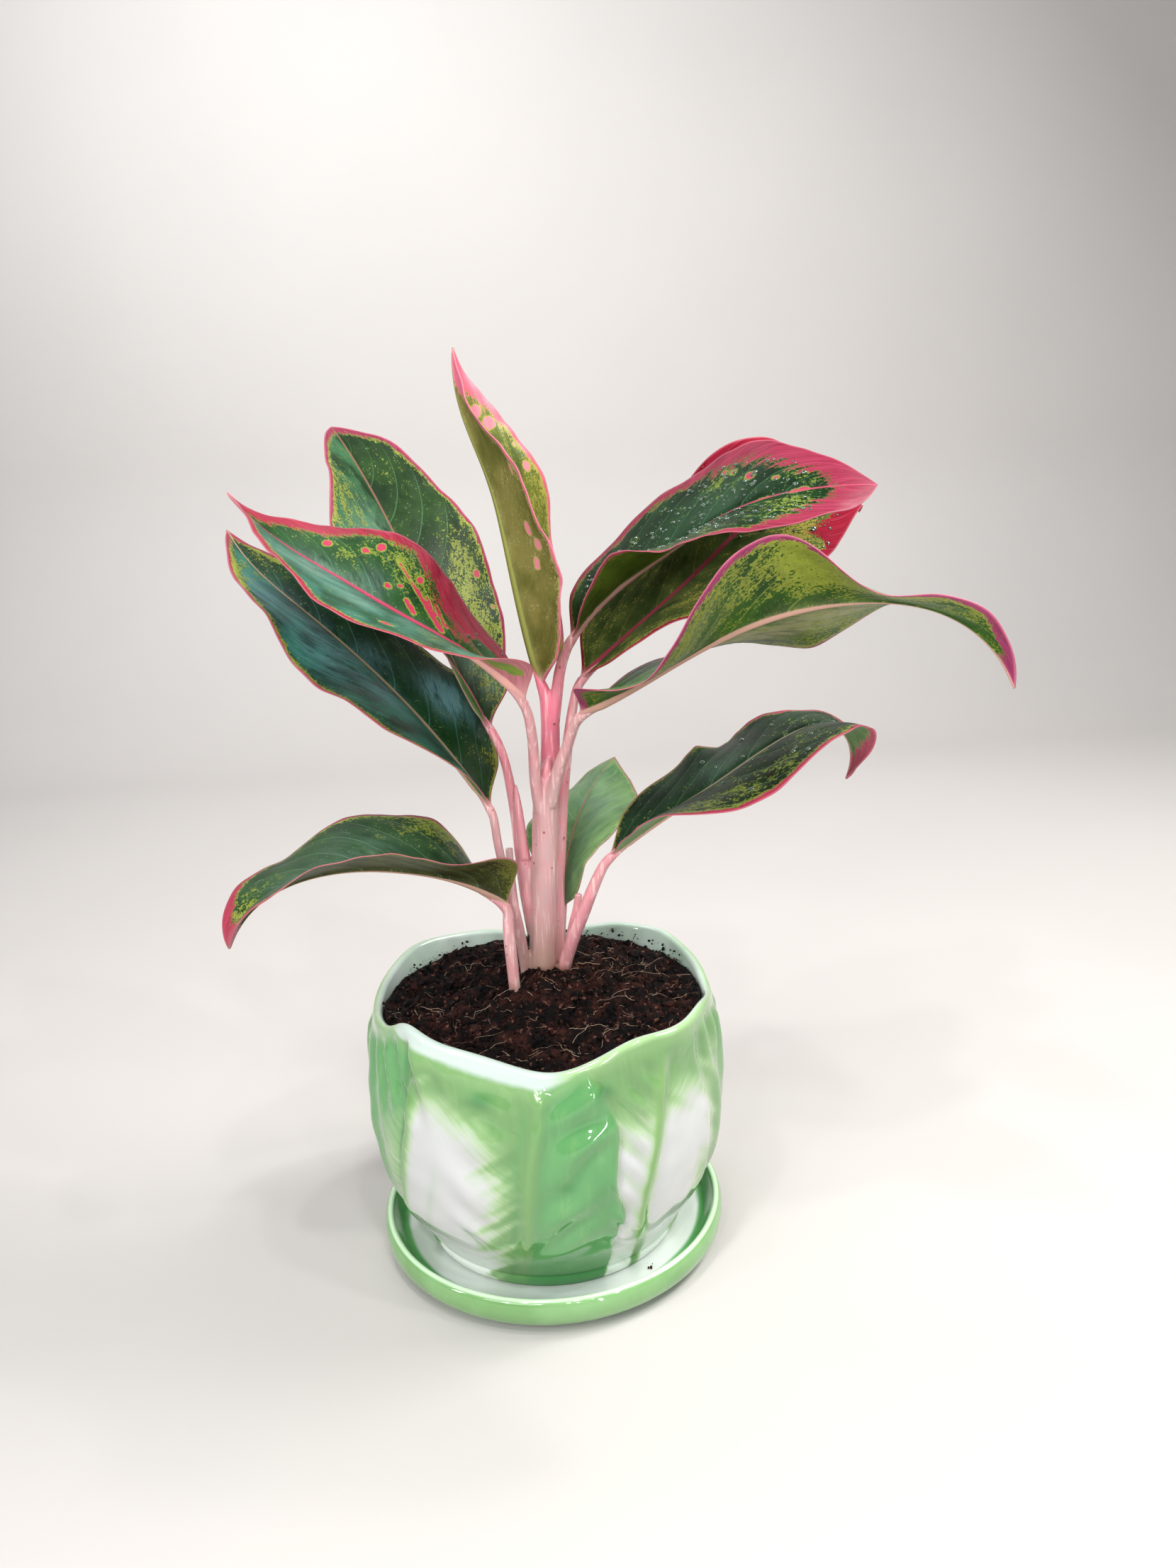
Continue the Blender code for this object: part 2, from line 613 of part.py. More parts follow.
def main():
    """Model the saucer, the pot, its filling and the plant."""
    clear_scene()
    glaze = principled("green glaze", (0.24, 0.52, 0.20), 0.12)
    earth = principled("potting mix", (0.035, 0.018, 0.013), 0.95)
    flesh = principled("pink stalk", (0.80, 0.48, 0.43), 0.42)
    dark = principled("dark leaf", (0.020, 0.085, 0.035), 0.30)
    olive = principled("olive leaf", (0.13, 0.17, 0.03), 0.35)
    bright = principled("bright leaf", (0.11, 0.22, 0.03), 0.35)
    pale = principled("pale leaf", (0.15, 0.33, 0.14), 0.40)
    colours = dict(leaf_spear=olive, leaf_right_front=bright, leaf_young=pale)
    make_saucer(glaze)
    make_pot(glaze)
    make_soil(earth, soil_holes(earth))
    make_stem(flesh)
    points, radii = FRONT_STALK
    front = stalk_for("leaf_left_low", points, radii, 12, flesh)
    front.name = "stalk_left_front"
    for name, leaf in LEAVES.items():
        make_leaf(name, leaf, colours.get(name, dark))


main()
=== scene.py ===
"""Looks of a potted lipstick aglaonema: fine pieces, their finishes and the stage.

Lengths in the tables are millimetres and angles are degrees. The plant's front faces -Y.
"""
import math

import bmesh
import bpy
import numpy as np
from bpy.props import FloatProperty, FloatVectorProperty, IntProperty, PointerProperty
from mathutils import Matrix, Vector, noise


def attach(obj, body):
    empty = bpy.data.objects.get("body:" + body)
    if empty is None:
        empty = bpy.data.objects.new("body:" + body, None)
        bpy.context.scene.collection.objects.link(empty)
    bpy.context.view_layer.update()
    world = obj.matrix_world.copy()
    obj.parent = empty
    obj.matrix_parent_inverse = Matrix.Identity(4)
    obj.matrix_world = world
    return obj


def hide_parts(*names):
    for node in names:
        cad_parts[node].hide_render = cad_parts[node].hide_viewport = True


bl_info = {
    "name": "Potted Lipstick Aglaonema",
    "version": (1, 0, 0),
    "blender": (4, 5, 0),
    "location": "3D View > Sidebar > Plant",
    "description": "Dresses a potted plant, its pot, saucer and potting mix, and sets the stage",
    "category": "Object",
}

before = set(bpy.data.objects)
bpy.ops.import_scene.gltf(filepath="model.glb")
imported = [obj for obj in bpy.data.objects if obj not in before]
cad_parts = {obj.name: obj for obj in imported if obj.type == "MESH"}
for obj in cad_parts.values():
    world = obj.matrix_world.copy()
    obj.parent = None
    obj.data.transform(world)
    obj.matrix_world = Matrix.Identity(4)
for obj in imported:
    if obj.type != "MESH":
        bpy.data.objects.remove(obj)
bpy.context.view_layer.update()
MM = 0.001


# Settings that a user would change

def colour_setting(name, description, code):
    """A colour property whose default is a plain screen colour such as 1e4a2e."""
    return FloatVectorProperty(name=name, description=description, subtype="COLOR", size=3,
                               min=0.0, max=1.0, default=screen_colour(code))


def screen_colour(code):
    """Linear colour values of a six-digit screen colour."""
    values = []
    for k in (0, 2, 4):
        v = int(code[k:k + 2], 16) / 255.0
        values.append(v / 12.92 if v <= 0.04045 else ((v + 0.055) / 1.055) ** 2.4)
    return tuple(values)


def length_setting(name, description, default, low, high):
    """A length property whose values are given in millimetres."""
    return FloatProperty(name=name, description=description, default=default * MM,
                         min=low * MM, max=high * MM, unit="LENGTH")


class LeafSettings(bpy.types.PropertyGroup):
    """Sizes and finish of the blades."""
    thickness: length_setting("Thickness", "Thickness of a blade", 0.55, 0.2, 1.5)
    quilting: length_setting("Quilting", "How far the blade swells between veins", 0.19, 0, 1.5)
    side_veins: FloatProperty(name="Side veins", description="Side veins on each half",
                              default=8.0, min=3.0, max=20.0)
    drops: FloatProperty(name="Drops", description="Water drops for each square metre",
                         default=90000.0, min=0.0, max=400000.0)
    drop_size: length_setting("Drop size", "Radius of a large drop", 1.05, 0.1, 3)
    roughness: FloatProperty(name="Roughness", description="Roughness of the waxy face",
                             default=0.36, min=0.05, max=1.0, subtype="FACTOR")


class StalkSettings(bpy.types.PropertyGroup):
    """Sizes and colours of the stalks."""
    voxel: length_setting("Fineness", "Size of the grid that blends the stalks", 0.42, 0.25, 1.5)
    pale: colour_setting("Pale flesh", "Colour of the lower stalks", "c7a4a1")
    pink: colour_setting("Pink flesh", "Colour of the young stalks", "e87c92")
    straw: colour_setting("Straw", "Colour of the oldest flesh by the soil", "a8846c")


class PotSettings(bpy.types.PropertyGroup):
    """Sizes and colours of the glazed pot and saucer."""
    columns: IntProperty(name="Columns", description="Points round the wall", default=400,
                         min=84, max=720)
    green: colour_setting("Green glaze", "Main colour of the glaze", "69955a")
    sea: colour_setting("Sea-green glaze", "Cooler green of the middle leaf", "5a955a")
    # The deep glaze colour also serves for painted shade beside the front leaf's right edge.
    deep: colour_setting("Deep glaze", "Colour where glaze pools", "3f8046")
    white: colour_setting("White glaze", "Colour of the bare ribs", "c0c2c1")
    lip: colour_setting("Lip", "Colour of the rim's edge", "c0cfc8")
    roughness: FloatProperty(name="Roughness", description="Roughness of the glaze",
                             default=0.07, min=0.0, max=1.0, subtype="FACTOR")


class SoilSettings(bpy.types.PropertyGroup):
    """Grain and colours of the potting mix."""
    crumbs: IntProperty(name="Crumbs", description="Crumbs for each square metre",
                        default=560000, min=0, max=2000000)
    crumb_size: length_setting("Crumb size", "Radius of a large crumb", 1.4, 0.2, 3)
    fibres: IntProperty(name="Fibres", description="Loose fibres in the surface", default=150,
                        min=0, max=3000)
    # Dark earth is partly the peat's own tone and partly painted shade in the hollows.
    dark: colour_setting("Dark earth", "Colour in the hollows", "060303")
    brown: colour_setting("Brown earth", "Colour of the crumbs", "3c1e17")
    fibre: colour_setting("Fibre", "Colour of the coir fibres", "c9ae96")


class StageSettings(bpy.types.PropertyGroup):
    """Camera, light and floor."""
    lens: FloatProperty(name="Focal length", description="Camera lens in millimetres",
                        default=26.04, min=10.0, max=200.0)
    light: FloatProperty(name="Light", description="Strength of all the lamps", default=0.98,
                         min=0.0, max=10.0)
    floor: colour_setting("Floor", "Colour of the floor and backdrop", "bfbbb8")


# Small mathematical helpers

def smooth_value(stations, t):
    """Value at t (0 to 1) on a smooth curve through evenly spaced stations."""
    last = len(stations) - 1
    place = min(max(t, 0.0), 1.0) * last
    index = min(int(place), last - 1)
    f = place - index
    p1 = stations[index]
    p2 = stations[index + 1]
    p0 = stations[index - 1] if index > 0 else p1 * 2 - p2
    p3 = stations[index + 2] if index + 2 <= last else p2 * 2 - p1
    slope = p2 - p0
    bend = p0 * 2 - p1 * 5 + p2 * 4 - p3
    twist = p1 * 3 - p0 - p2 * 3 + p3
    return p1 + (slope + (bend + twist * f) * f) * (0.5 * f)


def angle_gap(a, b):
    """Signed difference between two directions, -180 to 180 degrees."""
    return (a - b + 180.0) % 360.0 - 180.0


def bump(distance, width):
    """A round ridge, 1 at its middle."""
    return math.exp(-(distance / width) ** 2)


def ramp(value, start, end):
    """0 before start, 1 after end, smooth between them."""
    x = min(max((value - start) / (end - start), 0.0), 1.0)
    return x * x * (3.0 - 2.0 * x)


def wander(x, y, seed, scale=1.0):
    """Smooth noise between about -1 and 1."""
    return noise.noise(Vector((x * scale, y * scale, seed * 7.3)))


# Mesh helpers

def new_object(name, data):
    """Link a mesh, lamp or camera to the scene under a name."""
    thing = bpy.data.objects.new(name, data)
    bpy.context.scene.collection.objects.link(thing)
    return thing


def plain_mesh(name, vertices, faces):
    """A bare mesh from points in millimetres."""
    mesh = bpy.data.meshes.new(name)
    mesh.from_pydata([tuple(c * MM for c in v) for v in vertices], [], faces)
    return mesh


def mesh_piece(name, vertices, faces, materials, indices=None, attributes=None, closed=True):
    """A smooth-shaded piece from points in millimetres, with vector attributes."""
    mesh = plain_mesh(name, vertices, faces)
    for material in materials:
        mesh.materials.append(material)
    if indices is not None:
        mesh.polygons.foreach_set("material_index", indices)
    for key, values in (attributes or {}).items():
        layer = mesh.attributes.new(key, "FLOAT_VECTOR", "POINT")
        layer.data.foreach_set("vector", np.asarray(values, dtype=np.float32).ravel())
    mesh.shade_smooth()
    mesh.validate()
    piece = new_object(name, mesh)
    if closed:
        outward(piece)
    return piece


def outward(thing):
    """Turn a closed mesh's faces outwards."""
    shape = bmesh.new()
    shape.from_mesh(thing.data)
    bmesh.ops.recalc_face_normals(shape, faces=shape.faces)
    shape.to_mesh(thing.data)
    shape.free()


def lathe(rows):
    """Quads between rings of points; a row may be a single point."""
    vertices = []
    starts = []
    for row in rows:
        starts.append(len(vertices))
        vertices.extend(row)
    faces = []
    for k in range(len(rows) - 1):
        low, high = starts[k], starts[k + 1]
        sides = max(len(rows[k]), len(rows[k + 1]))
        for i in range(sides):
            j = (i + 1) % sides
            if len(rows[k]) == 1:
                faces.append((low, high + i, high + j))
            elif len(rows[k + 1]) == 1:
                faces.append((low + j, low + i, high))
            else:
                faces.append((low + i, low + j, high + j, high + i))
    return vertices, faces


def polar_point(radius, angle, height):
    """A point at a distance and an angle in radians round the Z axis."""
    return radius * math.cos(angle), radius * math.sin(angle), height


def ring(radius, height, sides):
    """Points round the Z axis."""
    step = 2 * math.pi / sides
    return [polar_point(radius, i * step, height) for i in range(sides)]


def hand_over(piece, node=None):
    """Tie a finished piece to its body and hide the node that it stands for."""
    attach(piece, "root")
    if node:
        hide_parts(node)


def flatten(thing, name):
    """Bake an object's modifiers and place into a plain mesh and drop the original."""
    graph = bpy.context.evaluated_depsgraph_get()
    mesh = bpy.data.meshes.new_from_object(thing.evaluated_get(graph))
    mesh.transform(thing.matrix_world)
    bpy.data.objects.remove(thing)
    return new_object(name, mesh)


# Geometry node helpers

class Grower:
    """Builds one geometry node tree whose named inputs a call can set."""

    def __init__(self, name, inputs):
        self.tree = bpy.data.node_groups.new(name, "GeometryNodeTree")
        face = self.tree.interface
        face.new_socket("Surface", in_out="INPUT", socket_type="NodeSocketGeometry")
        for label, kind in inputs.items():
            face.new_socket(label, in_out="INPUT", socket_type="NodeSocket" + kind)
        face.new_socket("Geometry", in_out="OUTPUT", socket_type="NodeSocketGeometry")
        self.input = self.tree.nodes.new("NodeGroupInput").outputs

    def node(self, kind, inputs=(), **settings):
        """A node with its settings and inputs, by socket index or name."""
        node = self.tree.nodes.new(kind)
        for key, value in settings.items():
            setattr(node, key, value)
        for key, value in dict(inputs).items():
            if isinstance(value, bpy.types.NodeSocket):
                self.tree.links.new(value, node.inputs[key])
            else:
                node.inputs[key].default_value = value
        return node

    def random(self, low, high, seed, vector=False):
        """A random number, or a random vector between two corners, for each item."""
        if vector:
            node = self.node("FunctionNodeRandomValue", {0: low, 1: high, "Seed": seed},
                             data_type="FLOAT_VECTOR")
            return node.outputs[0]
        node = self.node("FunctionNodeRandomValue", {2: low, 3: high, "Seed": seed},
                         data_type="FLOAT")
        return node.outputs[1]

    def scaled(self, vector, factor):
        return self.node("ShaderNodeVectorMath", {0: vector, "Scale": factor},
                         operation="SCALE").outputs[0]

    def times(self, a, b):
        return self.node("ShaderNodeMath", {0: a, 1: b}, operation="MULTIPLY").outputs[0]

    def shake(self, geometry, scale, amount):
        """Move each point by smooth noise."""
        noise_field = self.node("ShaderNodeTexNoise", {"Scale": scale, "Detail": 2.0}).outputs[1]
        centred = self.node("ShaderNodeVectorMath", {0: noise_field, 1: (0.5, 0.5, 0.5)},
                            operation="SUBTRACT").outputs[0]
        return self.node("GeometryNodeSetPosition",
                         {"Geometry": geometry, "Offset": self.scaled(centred, amount)}).outputs[0]

    def finish(self, geometry, smooth=True):
        """Shade, give the material and send out."""
        shaded = self.node("GeometryNodeSetShadeSmooth",
                           {"Geometry": geometry, "Shade Smooth": smooth}).outputs[0]
        dressed = self.node("GeometryNodeSetMaterial",
                            {"Geometry": shaded, "Material": self.input["Material"]}).outputs[0]
        self.node("NodeGroupOutput", {0: dressed})
        return self.tree

    def instances(self, points, thing, turn, size):
        """One real copy of a thing at each point."""
        placed = self.node("GeometryNodeInstanceOnPoints",
                           {"Points": points, "Instance": thing, "Rotation": turn, "Scale": size})
        return self.node("GeometryNodeRealizeInstances", {0: placed.outputs[0]}).outputs[0]

    def spread(self):
        """Points scattered over the surface."""
        return self.node("GeometryNodeDistributePointsOnFaces",
                         {"Mesh": self.input["Surface"], "Density": self.input["Density"],
                          "Seed": self.input["Seed"]})


def grow(name, surface, tree, **values):
    """Run a node tree on a surface and keep what it makes as a plain mesh."""
    thing = new_object(name + "_bed", surface)
    modifier = thing.modifiers.new(tree.name, "NODES")
    modifier.node_group = tree
    for item in tree.interface.items_tree:
        if item.item_type == "SOCKET" and item.in_out == "INPUT" and item.name in values:
            modifier[item.identifier] = values[item.name]
    return flatten(thing, name)


def crumb_tree():
    """Rough little lumps lying on a surface."""
    g = Grower("crumbs", dict(Density="Float", Size="Float", Seed="Int", Material="Material"))
    points = g.spread().outputs["Points"]
    lump = g.node("GeometryNodeMeshIcoSphere", {"Radius": 1.0, "Subdivisions": 1}).outputs[0]
    shape = g.random((0.35, 0.3, 0.25), (1.0, 0.85, 0.7), 11, True)
    grade = g.random(0.25, 1.0, 12)
    size = g.scaled(g.scaled(g.scaled(shape, grade), grade), g.input["Size"])
    turn = g.random((0.0, 0.0, 0.0), (6.28, 6.28, 6.28), 13, True)
    real = g.instances(points, lump, turn, size)
    return g.finish(g.shake(real, 900.0, g.input["Size"]), False)


def fibre_tree():
    """Thin curly fibres lying along a surface."""
    g = Grower("fibres", dict(Density="Float", Length="Float", Curl="Float", Radius="Float",
                              Seed="Int", Material="Material"))
    points = g.spread().outputs["Points"]
    line = g.node("GeometryNodeCurvePrimitiveLine",
                  {"Start": (-0.5, 0.0, 0.0), "End": (0.5, 0.0, 0.0)}).outputs[0]
    fine = g.node("GeometryNodeResampleCurve", {"Curve": line, "Count": 15}).outputs[0]
    turn = g.random((-0.30, -0.30, 0.0), (0.30, 0.30, 6.28), 21, True)
    grade = g.random(0.25, 1.0, 22)
    size = g.scaled((1.0, 1.0, 1.0), g.times(grade, g.input["Length"]))
    real = g.instances(points, fine, turn, size)
    bent = g.shake(g.shake(real, 60.0, g.input["Curl"]), 330.0, g.times(g.input["Curl"], 0.28))
    profile = g.node("GeometryNodeCurvePrimitiveCircle",
                     {"Resolution": 3, "Radius": g.input["Radius"]}).outputs[0]
    tube = g.node("GeometryNodeCurveToMesh",
                  {"Curve": bent, "Profile Curve": profile, "Fill Caps": True}).outputs[0]
    return g.finish(tube)


def drop_tree():
    """Flattened water drops on a wet surface."""
    g = Grower("drops", dict(Density="Float", Size="Float", Seed="Int", Material="Material"))
    spread = g.spread()
    bead = g.node("GeometryNodeMeshUVSphere",
                  {"Segments": 12, "Rings": 7, "Radius": 1.0}).outputs[0]
    grade = g.random(0.45, 1.0, 31)
    flat = g.random((0.75, 0.75, 0.5), (1.15, 1.0, 0.62), 32, True)
    size = g.scaled(g.scaled(g.scaled(flat, grade), grade), g.input["Size"])
    return g.finish(g.instances(spread.outputs["Points"], bead, spread.outputs["Rotation"], size))


# Shader helpers

SOCKETS = dict(specular="Specular IOR Level", coat="Coat Weight", coat_rough="Coat Roughness",
               flesh="Subsurface Weight", flesh_radius="Subsurface Radius",
               flesh_scale="Subsurface Scale", clear="Transmission Weight", ior="IOR")


class Shader:
    """Builds one material; values may be numbers, colours or sockets."""

    def __init__(self, name):
        self.material = bpy.data.materials.new(name)
        self.material.use_nodes = True
        self.tree = self.material.node_tree
        self.surface = self.tree.nodes["Principled BSDF"]

    def feed(self, socket, value):
        """Link a socket or set a plain value; six digits are a screen colour."""
        if isinstance(value, str):
            value = screen_colour(value)
        if isinstance(value, bpy.types.NodeSocket):
            self.tree.links.new(value, socket)
        elif hasattr(value, "__len__"):
            value = tuple(value)
            room = len(socket.default_value)
            socket.default_value = value + (1.0,) * (room - len(value))
        else:
            socket.default_value = value

    def node(self, kind, inputs=(), **settings):
        """A node with its settings and inputs, by socket index or name."""
        node = self.tree.nodes.new(kind)
        for key, value in settings.items():
            setattr(node, key, value)
        for key, value in dict(inputs).items():
            self.feed(node.inputs[key], value)
        return node

    def math(self, operation, a, b=0.0):
        return self.node("ShaderNodeMath", {0: a, 1: b}, operation=operation).outputs[0]

    def add(self, a, b):
        return self.math("ADD", a, b)

    def minus(self, a, b):
        return self.math("SUBTRACT", a, b)

    def scale(self, a, b):
        return self.math("MULTIPLY", a, b)

    def sway(self, noise_value, amount):
        """Noise turned into a swing about zero."""
        return self.scale(self.add(noise_value, -0.5), amount)

    def ramp(self, value, start, end, low=0.0, high=1.0):
        """Smooth step from start to end."""
        inputs = {"Value": value, "From Min": start, "From Max": end, "To Min": low,
                  "To Max": high}
        return self.node("ShaderNodeMapRange", inputs,
                         interpolation_type="SMOOTHSTEP").outputs[0]

    def mix(self, factor, a, b):
        """Colour b over colour a."""
        node = self.node("ShaderNodeMix", data_type="RGBA")
        self.feed(node.inputs["Factor"], factor)
        self.feed(node.inputs[6], a)
        self.feed(node.inputs[7], b)
        return node.outputs[2]

    def split(self, attribute):
        """The three numbers of a vector attribute."""
        source = self.node("ShaderNodeAttribute", attribute_name=attribute)
        parts = self.node("ShaderNodeSeparateXYZ", {0: source.outputs["Vector"]})
        return parts.outputs[0], parts.outputs[1], parts.outputs[2]

    def join(self, x, y, z=0.0):
        return self.node("ShaderNodeCombineXYZ", {0: x, 1: y, 2: z}).outputs[0]

    def place(self):
        return self.node("ShaderNodeTexCoord").outputs["Object"]

    def noise(self, vector, scale, detail=3.0, roughness=0.5, warp=0.0):
        inputs = {"Vector": vector, "Scale": scale, "Detail": detail, "Roughness": roughness,
                  "Distortion": warp}
        return self.node("ShaderNodeTexNoise", inputs).outputs[0]

    def cells(self, vector, scale):
        """Distance to the nearest of many scattered points."""
        inputs = {"Vector": vector, "Scale": scale}
        return self.node("ShaderNodeTexVoronoi", inputs).outputs["Distance"]

    def stretched(self, vector, factors):
        return self.node("ShaderNodeVectorMath", {0: vector, 1: factors},
                         operation="MULTIPLY").outputs[0]

    def relief(self, height, distance, strength):
        """A bump of real depth in metres."""
        inputs = {"Height": height, "Distance": distance, "Strength": strength}
        return self.node("ShaderNodeBump", inputs).outputs[0]

    def finish(self, colour, roughness, normal, **others):
        """Wire the surface and set its other values."""
        self.feed(self.surface.inputs["Base Color"], colour)
        self.feed(self.surface.inputs["Roughness"], roughness)
        self.feed(self.surface.inputs["Normal"], normal)
        for key, value in others.items():
            self.feed(self.surface.inputs[SOCKETS[key]], value)
        return self.material


# Leaves: the same paths as the solids have, with finer columns, veins and finishes

LEAVES = {
    "leaf_left_middle": dict(
        base=(0, -7, 197), length=120, width=57, blunt=(0.60, 1.00), curl=0,
        heading=(190, 190, 160, 155, 160), rise=(55, 35, 30, 30, 50), roll=(20, 0, -5, 0, 20),
        left=(30, 0, 5, 10, 10), right=(40, 25, 30, 30, 5)),
    "leaf_left_lower": dict(
        base=(-13, -7, 162), length=140, width=59, blunt=(0.60, 1.00), curl=-10,
        heading=(155, 150, 155, 150, 125), rise=(55, 45, 40, 35, 40), roll=(20, 10, 5, 5, 15),
        left=(25, 10, -5, 5, 10), right=(25, 25, 20, 25, 15)),
    "leaf_left_upper": dict(
        base=(-12, 11, 184.5), length=137, width=66, blunt=(0.65, 0.90), curl=0,
        heading=(150, 135, 125, 125, 125), rise=(55, 60, 50, 45, 35), roll=(10, 15, 5, 5, -5),
        left=(30, 25, 15, 25, 25), right=(20, 10, 5, 20, 30)),
    "leaf_spear": dict(
        base=(6, 7, 199), length=111, width=47, blunt=(0.65, 1.05), curl=-35,
        heading=(180, 185, 185, 180, 180), rise=(75, 80, 80, 70, 95), roll=(-10, 0, -5, -10, -10),
        left=(55, 50, 50, 50, 40), right=(65, 60, 65, 70, 50)),
    "leaf_right_upper": dict(
        base=(15, 4, 215), length=114, width=64, blunt=(0.65, 0.85), curl=-5,
        heading=(0, -10, -25, -20, 10), rise=(55, 35, 30, 10, -5), roll=(0, -5, 5, 10, 15),
        left=(30, 35, 35, 35, 25), right=(10, 15, 0, -10, -35)),
    "leaf_right_rear": dict(
        base=(18, 9, 201), length=138, width=66, blunt=(0.60, 0.95), curl=-10,
        heading=(5, -5, 10, 35, 45), rise=(40, 40, 40, 5, -35), roll=(10, 10, 20, 30, 10),
        left=(35, 20, 15, 30, 20), right=(20, 10, -10, -5, 0)),
    "leaf_right_front": dict(
        base=(16, -11, 193), length=150.6, width=69, blunt=(0.65, 1.05), curl=0,
        heading=(-35, -20, -20, -35, -40), rise=(25, 30, 15, -10, -70), roll=(5, 15, -10, 5, -20),
        left=(20, -15, -15, -10, 10), right=(45, 15, 35, 20, 55)),
    "leaf_right_low": dict(
        base=(24, -5, 142), length=119, width=55, blunt=(0.80, 0.95), curl=-10,
        heading=(-5, -25, 10, 25, 25), rise=(40, 35, 30, -5, -125), roll=(0, 5, 0, -5, 30),
        left=(40, 30, 5, 15, 55), right=(25, 15, 0, 10, 15)),
    "leaf_young": dict(
        base=(9, 16, 116), length=67, width=46, blunt=(0.95, 0.90), curl=-10,
        heading=(65, 55, 55, 55, 50), rise=(85, 70, 50, 30, 20), roll=(-10, -15, -10, -5, 5),
        left=(10, 10, 5, -15, -20), right=(25, 25, 10, -10, -20)),
    "leaf_left_low": dict(
        base=(-10, -6, 127), length=105, width=57, blunt=(0.60, 0.85), curl=-15,
        heading=(200, 190, 190, 195, 220), rise=(50, 20, 5, -20, -65), roll=(20, -5, -5, -5, -5),
        left=(70, 40, 40, 30, 45), right=(20, 25, 25, 10, 30)),
}
# How far a blade's edge waves and how often, half its width at the stalk, and how far its
# midrib stands out below
LEAF_RIPPLE = dict(leaf_right_low=1.6, leaf_right_front=1.4, leaf_left_upper=1.2)
EDGE_RIPPLE = 0.9
EDGE_WAVES = 3.4
ROOT_HALF_WIDTH = 1.1
MIDRIB_DEPTH = 1.3
# Fineness of a blade's grid, along it and on each half
LEAF_ROWS = 144
LEAF_COLUMNS = 28
# No drop lies nearer to a blade's edge than this
DRY_EDGE = 1.6
# Wet part of a face, as shares of its rows and columns, and how thickly drops lie there
WET = dict(leaf_right_upper=(0.12, 0.84, 0.10, 0.90), leaf_right_low=(0.40, 0.88, 0.10, 0.97),
           leaf_right_rear=(0.55, 0.9, 0.5, 0.97), leaf_left_middle=(0.10, 0.32, 0.5, 0.95))
WET_SHARE = dict(leaf_right_upper=1.0, leaf_right_low=0.14, leaf_right_rear=0.3,
                 leaf_left_middle=0.12)
